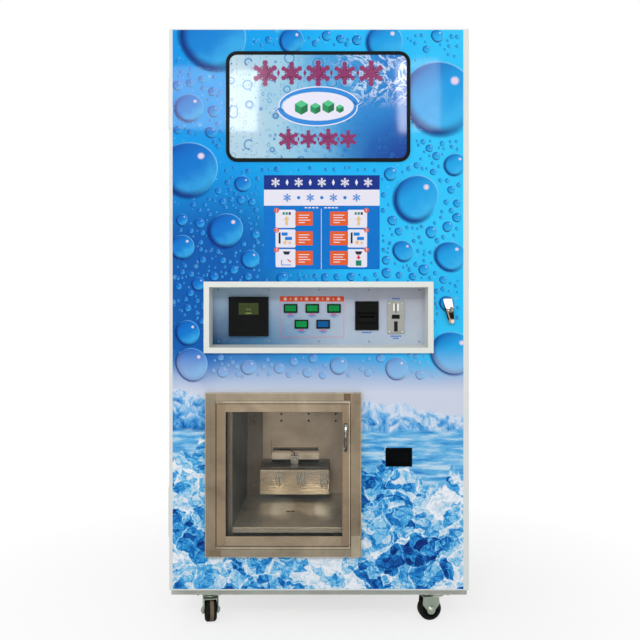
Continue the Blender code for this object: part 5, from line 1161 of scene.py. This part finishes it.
def build_fascia():
    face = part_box("control_plate")[0].y
    ink = face - INK_STEP
    left, right, top, bottom = -0.132, 0.084, 1.086, 0.948
    prints("selection_header", [rounded((left, top - 0.018), (right, top), 0.003, 4)],
           printed("header_ink", (216, 78, 40)), ink)
    row = [(left + i * (right - left) / 12, top - 0.009) for i in range(1, 12)]
    marks = [diamond(place, 0.004, 0.009) if i % 2 else crystal_outline(place, 0.0064, 0.12)
             for i, place in enumerate(row)]
    prints("selection_header_marks", marks, printed("header_marks_ink", (236, 222, 216)), ink - INK_STEP)
    blue, pink = printed("caption_blue_ink", (18, 104, 196)), printed("caption_red_ink", (226, 60, 96))
    low, high = (left, bottom), (right, top - 0.010)
    rim("selection_border", rounded(low, high, 0.003, 4), grown(low, high, -0.0011, 0.002, 4), face - SEAT,
        ink + 0.00004, pink, DOOR, "fascia_print")
    reds, blues = [], []
    for button in range(1, 6):
        x, foot, _ = node_front(f"button_bezel_{button}")
        reds += caption((x, foot - 0.0052), [(1, 0.015)], 0.0036)
        blues += caption((x, foot - 0.0098), [(7, 0.0030), (4, 0.0030)], 0.0026, 0.0042)
    x, foot, _ = node_front("bill_acceptor")
    blues += caption((x, foot - 0.0085), [(6, 0.0042)], 0.0040)
    x, foot, head = node_front("coin_acceptor")
    blues += caption((x, foot - 0.0085), [(7, 0.0042), (4, 0.0042)], 0.0040, 0.0072)
    blues += caption((x, head + 0.0090), [(5, 0.0042)], 0.0042)
    prints("caption_reds", reds, pink, ink)
    prints("caption_blues", blues, blue, ink)
    places = [(x, face - HEAD_SEAT, z) for x in (-0.338, -0.169, 0.0, 0.168, 0.337) for z in (1.107, 0.934)]
    screws("fascia_screws", places, FORWARD, DOOR, metal("screw_plate", (150, 152, 154), 0.3), 0.0031, 0.0016)


def build_reader():
    low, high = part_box("display_lens")
    box_low, box_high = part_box("card_reader")
    body = box_low.y
    rim("display_bezel", grown(low, high, 0.0050, 0.003, 4), grown(low, high, 0.0002, 0.001, 4), body + 0.0008,
        body - 0.0012, moulded("bezel_plastic", (14, 15, 16), 0.3), DOOR, "black_plastic")
    glow = Nodes("display_digits", {"Roughness": 0.5, "Emission Strength": 0.35, "Emission Color": rgb(176, 190, 96)})
    glow.done(glow.mix(glow.noise(glow.coords(), 400, 2.0), rgb(186, 196, 120), rgb(150, 164, 90)))
    for row, (value, size) in enumerate((("0 0 0 0", 0.0062), ("0 1 2 3", 0.0048))):
        place = ((low.x + high.x) / 2, low.y - 0.00006, low.z + 0.0045 + 0.013 * row)
        number(f"display_row_{row + 1}", value, size, place, 0.00004, glow.material)
    screws("reader_screws", corners(box_low, box_high, 0.0075), FORWARD, DOOR,
           moulded("black_oxide", (30, 31, 33), 0.35), 0.0026, 0.0010)


def build_acceptors():
    low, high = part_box("coin_acceptor")
    middle = (low.x + high.x) / 2
    bright = stainless("coin_trim_steel", (206, 206, 200), "Z", 0.2)
    screws("coin_plate_screws", corners(low, high, 0.0065), FORWARD, DOOR, bright, 0.0029, 0.0012)
    trim("coin_slot_cheeks", [rounded((x - 0.0022, high.z - 0.0330), (x + 0.0022, high.z - 0.0080), 0.001, 3)
                              for x in (middle - 0.0068, middle + 0.0068)], low.y, 0.0022, bright, DOOR)
    window = rounded((middle - 0.0135, low.z + 0.0500), (middle + 0.0125, low.z + 0.0640), 0.0012, 3)
    trim("coin_window", [window], low.y, 0.0008, moulded("coin_window_plastic", (16, 18, 20), 0.15), DOOR)


# ---- compartment
FOLDS = ((-0.160, 3, 0.0105, 0.422, 0.362), (-0.080, 4, 0.0098, 0.420, 0.360), (0.006, 3, 0.0100, 0.414, 0.352))
FOLD_STEPS = 11
SLOT_HALVES = ((-0.1880, -0.1135), (-0.0825, -0.0010))
SENSOR_COVER = 0.029
CHUTE_BOLT = [(0.0041, 0), (0.0041, 0.0014), (0.0034, 0.0020), (0.0016, 0.0020), (0.0014, 0.0008), (0, 0.0008)]
RIVET = [(0.0032, 0), (0.0027, 0.0011), (0.0014, 0.0017), (0, 0.0018)]
DRAIN_Y = FRONT + 0.265
UPRIGHT_TO_FLAT = Matrix(((1, 0, 0, 0), (0, 0, 1, 0), (0, 1, 0, 0), (0, 0, 0, 1)))


def ribbon(bm, points, width, proud, face):
    """A raised fold of film: a wavy strip on a face that looks to -Y, its crest proud of it."""
    rows = []
    for i, (x, z) in enumerate(points):
        swell = math.sin(math.pi * (i + 0.35) / (len(points) - 0.3))
        half = width / 2 * (0.35 + 0.65 * swell)
        rows.append([bm.verts.new((x + reach * half, face - rise, z))
                     for reach, rise in ((-1, 0.00004), (0.2, proud * swell), (1, 0.00004))])
    skin(bm, rows)
    bm.faces.new(rows[0])
    bm.faces.new(rows[-1])


def build_hood():
    low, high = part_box("chute_hood")
    hem = rounded((low.x + 0.0004, low.z + 0.0003), (high.x - 0.0004, low.z + 0.0135), 0.001, 2)
    trim("hood_hem", [hem], low.y, 0.0010, stainless("hem_steel", (160, 148, 128), "X", 0.34), CABINET)
    folds = bmesh.new()
    for left, count, step, top, bottom in FOLDS:
        for k in range(count):
            points = []
            for share in (i / FOLD_STEPS for i in range(FOLD_STEPS + 1)):
                lean = -0.004 if left < 0 else 0.0024
                sway = 0.0016 * math.sin(5.1 * share + 2.3 * k + 30 * left) + lean * share
                drop = share * (top - bottom) * (0.82 + 0.12 * (k % 2))
                points.append((left + k * step + sway, top + 0.006 * math.sin(3 * k) - drop))
            ribbon(folds, points, 0.0064, 0.0036, low.y)
    silver = stainless("film_silver", (252, 246, 232), "Z", 0.3, cloud=0.1, lines=0.05)
    piece("hood_film_folds", folds, silver, CABINET, True)


def build_sensor():
    low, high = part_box("bag_sensor")
    left, right = high.x - SENSOR_COVER, high.x
    plates("sensor_cover", [rounded((left, low.z), (right, 0.4675), 0.001, 3)], low.y + 0.0002, low.y - 0.0008,
           stainless("sensor_steel", (196, 190, 172), "Z", 0.42), CABINET)
    rim("sensor_window", rounded((left + 0.0045, low.z + 0.0070), (right - 0.0060, 0.4625), 0.001, 3),
        rounded((left + 0.0062, low.z + 0.0087), (right - 0.0077, 0.4608), 0.0008, 3), low.y - 0.0007, low.y - 0.0011,
        moulded("sensor_grey", (118, 112, 98), 0.5), CABINET, "black_plastic")


def build_chute_panel():
    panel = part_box("chute_panel")[0].y
    spots = [((x, panel - HEAD_SEAT, z), FORWARD) for x in (-0.150, -0.042, 0.065) for z in (0.606, 0.633)]
    turnings("chute_bolt_caps", CHUTE_BOLT, spots, 18, moulded("bolt_oxide", (38, 30, 23), 0.5, 500, spread=0.6),
             CABINET)
    # painted shade: dark marks where the panel's slot and small openings show dark
    marks = bmesh.new()
    lathe(marks, [(0.0024, 0), (0.0024, 0.0004), (0, 0.0004)], (-0.0739, panel - HEAD_SEAT, 0.467), sides=14)
    slab(marks, rounded((-0.1897, 0.470), (-0.1885, 0.532)), panel + 0.0040, panel + 0.0037)
    for left, right in SLOT_HALVES:
        slab(marks, rounded((left, 0.4400), (right, 0.4520)), panel - SEAT, panel - 0.0004)
    piece("chute_gap_shade", marks, moulded("gap_and_hole_shade", (26, 24, 20), 0.7), CABINET)
    # partly real lip, partly painted highlight: a lighter copy of the panel's steel
    lips = [rounded((left, 0.4530), (right, 0.4790), 0.001, 2) for left, right in SLOT_HALVES]
    steel = stainless("lip_highlight_steel", (190, 175, 150), "X", 0.3, cloud=0.2)
    trim("chute_slot_lip_highlight", lips, panel, 0.0010, steel, CABINET)


def build_shelf():
    low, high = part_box("compartment_shelf")
    left, right = low.x + 0.0004, high.x - 0.0004
    # partly real folded hem, partly painted highlight: lighter steel along the shelf's front edge
    trim("shelf_hem", [rounded((left, 0.3098), (right, high.z - 0.0006), 0.0008, 2)], low.y, 0.0012,
         stainless("shelf_lip_highlight_steel", (226, 214, 190), "X", 0.25), CABINET)
    # painted shade: dark rings round the drain slots, so the slots read dark
    drains = bmesh.new()
    for x in (-0.1115, -0.0955):
        outer, inner = (rounded((x - wide, DRAIN_Y - deep), (x + wide, DRAIN_Y + deep), radius, 3)
                        for wide, deep, radius in ((0.0066, 0.0100, 0.003), (0.0050, 0.0022, 0.001)))
        ring(drains, outer, inner, high.z - 0.0001, high.z + 0.0003)
    bmesh.ops.transform(drains, matrix=UPRIGHT_TO_FLAT, verts=drains.verts)
    piece("shelf_drain_shade", drains, moulded("drain_shade_black", (18, 16, 13), 0.7), CABINET)
    # painted shade: a black strip where a dark gap shows below the shelf's front
    trim("shelf_gap_shade", [rounded((left, 0.2890), (right, 0.2985), 0.002, 4)], low.y, 0.0030,
         moulded("gap_shade_black", (14, 14, 13), 0.7), CABINET)


def build_compartment():
    build_chute_panel()
    build_hood()
    build_sensor()
    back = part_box("compartment_box")[1].y - 0.002 - HEAD_SEAT
    rivets = [((-0.2617, back, z), FORWARD) for z in (0.600, 0.470, 0.345, 0.730)]
    for z in (0.700, 0.365):
        for y in (-0.30, -0.05):
            rivets += [((-0.28798, y, z), (1, 0, 0)), ((0.09498, y, z), (-1, 0, 0))]
    turnings("compartment_rivets", RIVET, rivets, 16, metal("rivet_steel", (176, 166, 148), 0.3), CABINET)
    build_shelf()


# ---- casters
CASTERS = {"front_left": (-78, True), "front_right": (190, True), "rear_left": (90, False), "rear_right": (90, False)}
WHEEL_RADIUS, WHEEL_HALF, WHEEL_FLATS = 0.0375, 0.019, 24
BOSS = [(0.0150, 0), (0.0140, 0.0012), (0.0088, 0.0040), (0.0064, 0.0062), (0.0046, 0.0070), (0.0020, 0.0072),
        (0, 0.0066)]
BOSS_REACH = 0.02502
BOLT_HEAD = [(0.0066, 0), (0.0066, 0.0006), (0.0050, 0.0007), (0.0050, 0.0034), (0.0040, 0.0040), (0, 0.0040)]
CROWN = [(0.0262, 0.0825), (0.0262, 0.0842), (0.0280, 0.0856), (0.0300, 0.0852), (0.0307, 0.0838), (0.0300, 0.0825)]
SHELL = [(0.0268, 0.0917), (0.0296, 0.0917), (0.0310, 0.0900), (0.0306, 0.0876), (0.0284, 0.0866), (0.0266, 0.0870)]
RING_SIDES = 40
RACE_BALLS, RACE_RADIUS, RACE_HEIGHT, BALL_RADIUS = 22, 0.0243, 0.0847, 0.0019
PLATE_UNDERSIDE = 0.09168


def wheel_band(name, centre, across, shares, material, body):
    """A thin skin on the tread's flats, between shares of half its width."""
    bm = bmesh.new()
    along, up = Vector((across.y, -across.x, 0)), Vector((0, 0, 1))
    radius = WHEEL_RADIUS / math.cos(math.pi / WHEEL_FLATS)
    inner, outer = radius - 0.0004, radius + 0.00022
    for low, high in shares:
        skin(bm, [[
            bm.verts.new(centre + across * side * WHEEL_HALF + reach * (math.sin(a) * along - math.cos(a) * up))
            for a in (math.pi / WHEEL_FLATS + b for b in around(WHEEL_FLATS))
        ] for reach, side in ((inner, low), (inner, high), (outer, high), (outer, low))], closed=True)
    piece(name, bm, material, body)


def turned(name, outline, stem, material, body):
    """A ring about an upright stem: a closed outline of (radius, height)."""
    bm = bmesh.new()
    skin(bm, [[bm.verts.new(stem + spoke(angle, radius, height)) for angle in around(RING_SIDES)]
              for radius, height in outline], closed=True)
    piece(name, bm, material, body, True)


def build_casters():
    worn = moulded("worn_tread", (104, 92, 78), 0.85, 160, 0.0003, 0.0, 1.1)
    dusty = moulded("dusty_tread", (38, 36, 32), 0.8, 160, 0.0003, 0.0, 0.8)
    zinc = metal("caster_zinc", (158, 166, 152), 0.34, 0.3)
    dark = moulded("grease", (22, 23, 20), 0.4)
    # partly real polished race, partly painted highlight: a lighter copy of the caster zinc for the race rings
    bright = metal("race_zinc_highlight", (226, 230, 222), 0.24, 0.2)
    for name, (turn, swivels) in CASTERS.items():
        fork, roller = f"{name}_caster" if swivels else CABINET, f"{name}_roller"
        low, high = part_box(f"{name}_wheel")
        centre = (Vector(low) + Vector(high)) / 2
        across = Vector((-math.sin(math.radians(turn)), math.cos(math.radians(turn)), 0))
        tread = dusty if name == "front_right" else worn
        wheel_band(f"{name}_tread_wear", centre, across, ((-0.18, 0.46),), tread, roller)
        wheel_band(f"{name}_tread_seams", centre, across, ((-0.66, -0.60), (0.60, 0.66)), dark, roller)
        spots = [(centre + way * BOSS_REACH, way) for way in (-across, across)]
        turnings(f"{name}_axle_bosses", BOSS, spots, 28, zinc, fork)
        low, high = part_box(f"{name}_caster_plate" if swivels else f"{name}_caster_fork")
        stem = Vector(((low.x + high.x) / 2, (low.y + high.y) / 2, 0))
        spots = [(stem + Vector((x, y, PLATE_UNDERSIDE)), (0, 0, -1)) for x in (-0.036, 0.036) for y in (-0.0285,
                                                                                                         0.0285)]
        turnings(f"{name}_plate_bolts", BOLT_HEAD, spots, 6, zinc, CABINET, False)
        if swivels:
            turned(f"{name}_crown_rim", CROWN, stem, bright, fork)
            turned(f"{name}_race_shell", SHELL, stem, bright, CABINET)
            race = bmesh.new()
            for angle in around(RACE_BALLS):
                spot = stem + spoke(angle, RACE_RADIUS, RACE_HEIGHT)
                bmesh.ops.create_icosphere(race, subdivisions=1, radius=BALL_RADIUS, matrix=Matrix.Translation(spot))
            piece(f"{name}_race_balls", race, dark, CABINET, True)


# ---- fittings
HINGE_FACE = -0.4923
# patches at the frame's corners: a real change of grain, with painted shade and painted highlight in their colours
CORNER_SHADING = (  # name, left, foot, width, height, colour and grain
    ("upper_right", 0.0805, 0.7440, 0.0220, 0.0232, (98, 84, 66), "Z"),
    ("lower_right", 0.1045, 0.2356, 0.0290, 0.0680, (160, 150, 130), "Z"),
    ("lower_left", -0.3690, 0.2356, 0.0500, 0.0230, (122, 108, 90), "Z"),
    ("upper_left", -0.3690, 0.7300, 0.0290, 0.0372, (128, 119, 103), "X"),
)


def build_panel_screws():
    steel = metal("screw_steel", (168, 168, 162), 0.28)
    for end in ("lower", "upper"):
        low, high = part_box(f"{end}_hinge_door")
        heights = [low.z + share * (high.z - low.z) for share in (0.1, 0.37, 0.63, 0.9)]
        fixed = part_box(f"{end}_hinge_fixed")[1]
        for half, y, body in (("door", low.y + 0.010, DOOR), ("fixed", fixed.y - 0.012, CABINET)):
            places = [(HINGE_FACE, y, z) for z in heights]
            screws(f"{end}_hinge_{half}_screws", places, (-1, 0, 0), body, steel, 0.0036)
    for side, name in ((-1, "left"), (1, "right")):
        low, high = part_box(f"{name}_side_panel")
        face = low.x if side < 0 else high.x
        edge = [(face, y, z) for z in (low.z + 0.03, high.z - 0.03) for y in (-0.40, -0.18, 0.03, 0.25, 0.47)]
        edge += [(face, high.y - 0.022, low.z + share * (high.z - low.z)) for share in (0.2, 0.4, 0.6, 0.8)]
        screws(f"{name}_panel_screws", edge, (side, 0, 0), CABINET, steel)
    low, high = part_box("top_panel")
    edge = [(x, y, high.z) for x in (-0.46, -0.15, 0.15, 0.46) for y in (low.y + 0.03, high.y - 0.03)]
    screws("top_panel_screws", edge, (0, 0, 1), CABINET, steel)
    low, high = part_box("rear_panel")
    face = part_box("left_side_panel")[1].y
    edge = [(x, face, z) for x in (low.x + 0.014, high.x - 0.014) for z in (0.16, 0.55, 0.95, 1.35, 1.75)]
    edge += [(x, face, z) for x in (-0.22, 0.0, 0.22) for z in (low.z + 0.014, high.z - 0.014)]
    screws("rear_panel_screws", edge, (0, 1, 0), CABINET, steel)


def build_hatch_trim():
    """Painted highlights and painted shade on the folded steel round the hatch: bright edges on the leaf and the
    frame, a dark line in the gap between them and lighter and darker patches at the frame's corners; and the pads
    under its handle.
    """
    low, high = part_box("hatch_leaf")
    frame_low, frame_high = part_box("hatch_frame")
    front, face = frame_low.y, low.y
    # painted shade: a dark line in the gap between frame and leaf
    rim("hatch_gap_shade", grown(low, high, 0.0032, 0.002, 4), grown(low, high, 0.0022, 0.001, 4), front - SEAT,
        front - 0.0005, stainless("gap_shade_steel", (92, 78, 60), "X", 0.3, cloud=0.2), DOOR, "stainless")
    # painted highlight: bright bars along the leaf's top, bottom and right edges
    near, far = low.x + 0.020, high.x - 0.0002
    bars = (((near, low.z + 0.0002), (far, low.z + 0.0016)), ((near, high.z - 0.0016), (far, high.z - 0.0002)),
            ((far - 0.0014, low.z + 0.0017), (far, high.z - 0.0017)))
    trim("leaf_edge_highlight", [rounded(*bar) for bar in bars], face, 0.0006,
         stainless("leaf_rim_highlight_steel", (206, 196, 174), "X", 0.24, cloud=0.2), "hatch")
    # painted highlight: a bright band along the frame's outer edge
    rim("frame_edge_highlight", grown(frame_low, frame_high, -0.0002, 0.001, 4),
        grown(frame_low, frame_high, -0.0014, 0.001, 4), front - SEAT, front - 0.0005,
        stainless("frame_rim_highlight_steel", (196, 186, 164), "X", 0.28, cloud=0.22), DOOR, "stainless")
    # painted shade and painted highlight: darker and lighter patches at the frame's corners
    for name, left, foot, wide, tall, colour, grain in CORNER_SHADING:
        trim(f"frame_corner_shading_{name}", [rounded((left, foot), (left + wide, foot + tall))], front, 0.0004,
             stainless(f"corner_shading_steel_{name}", colour, grain, 0.36, cloud=0.2), DOOR)
    low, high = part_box("hatch_handle")
    x = (low.x + high.x) / 2
    turnings("hatch_handle_roses", [(0.0066, 0), (0.0066, 0.0007), (0.0058, 0.0011), (0.0030, 0.0011)],
             [((x, face - HEAD_SEAT, z), FORWARD) for z in (low.z + 0.0045, high.z - 0.0045)], 24,
             moulded("handle_pad", (58, 52, 44), 0.45), "hatch")


bpy.context.scene.view_settings.view_transform = "Standard"
build_camera()
build_stage()
dress_cad()
build_bubbles()
build_sign_motif()
build_instruction_plate()
build_fascia()
build_reader()
build_acceptors()
build_compartment()
build_casters()
build_panel_screws()
build_hatch_trim()
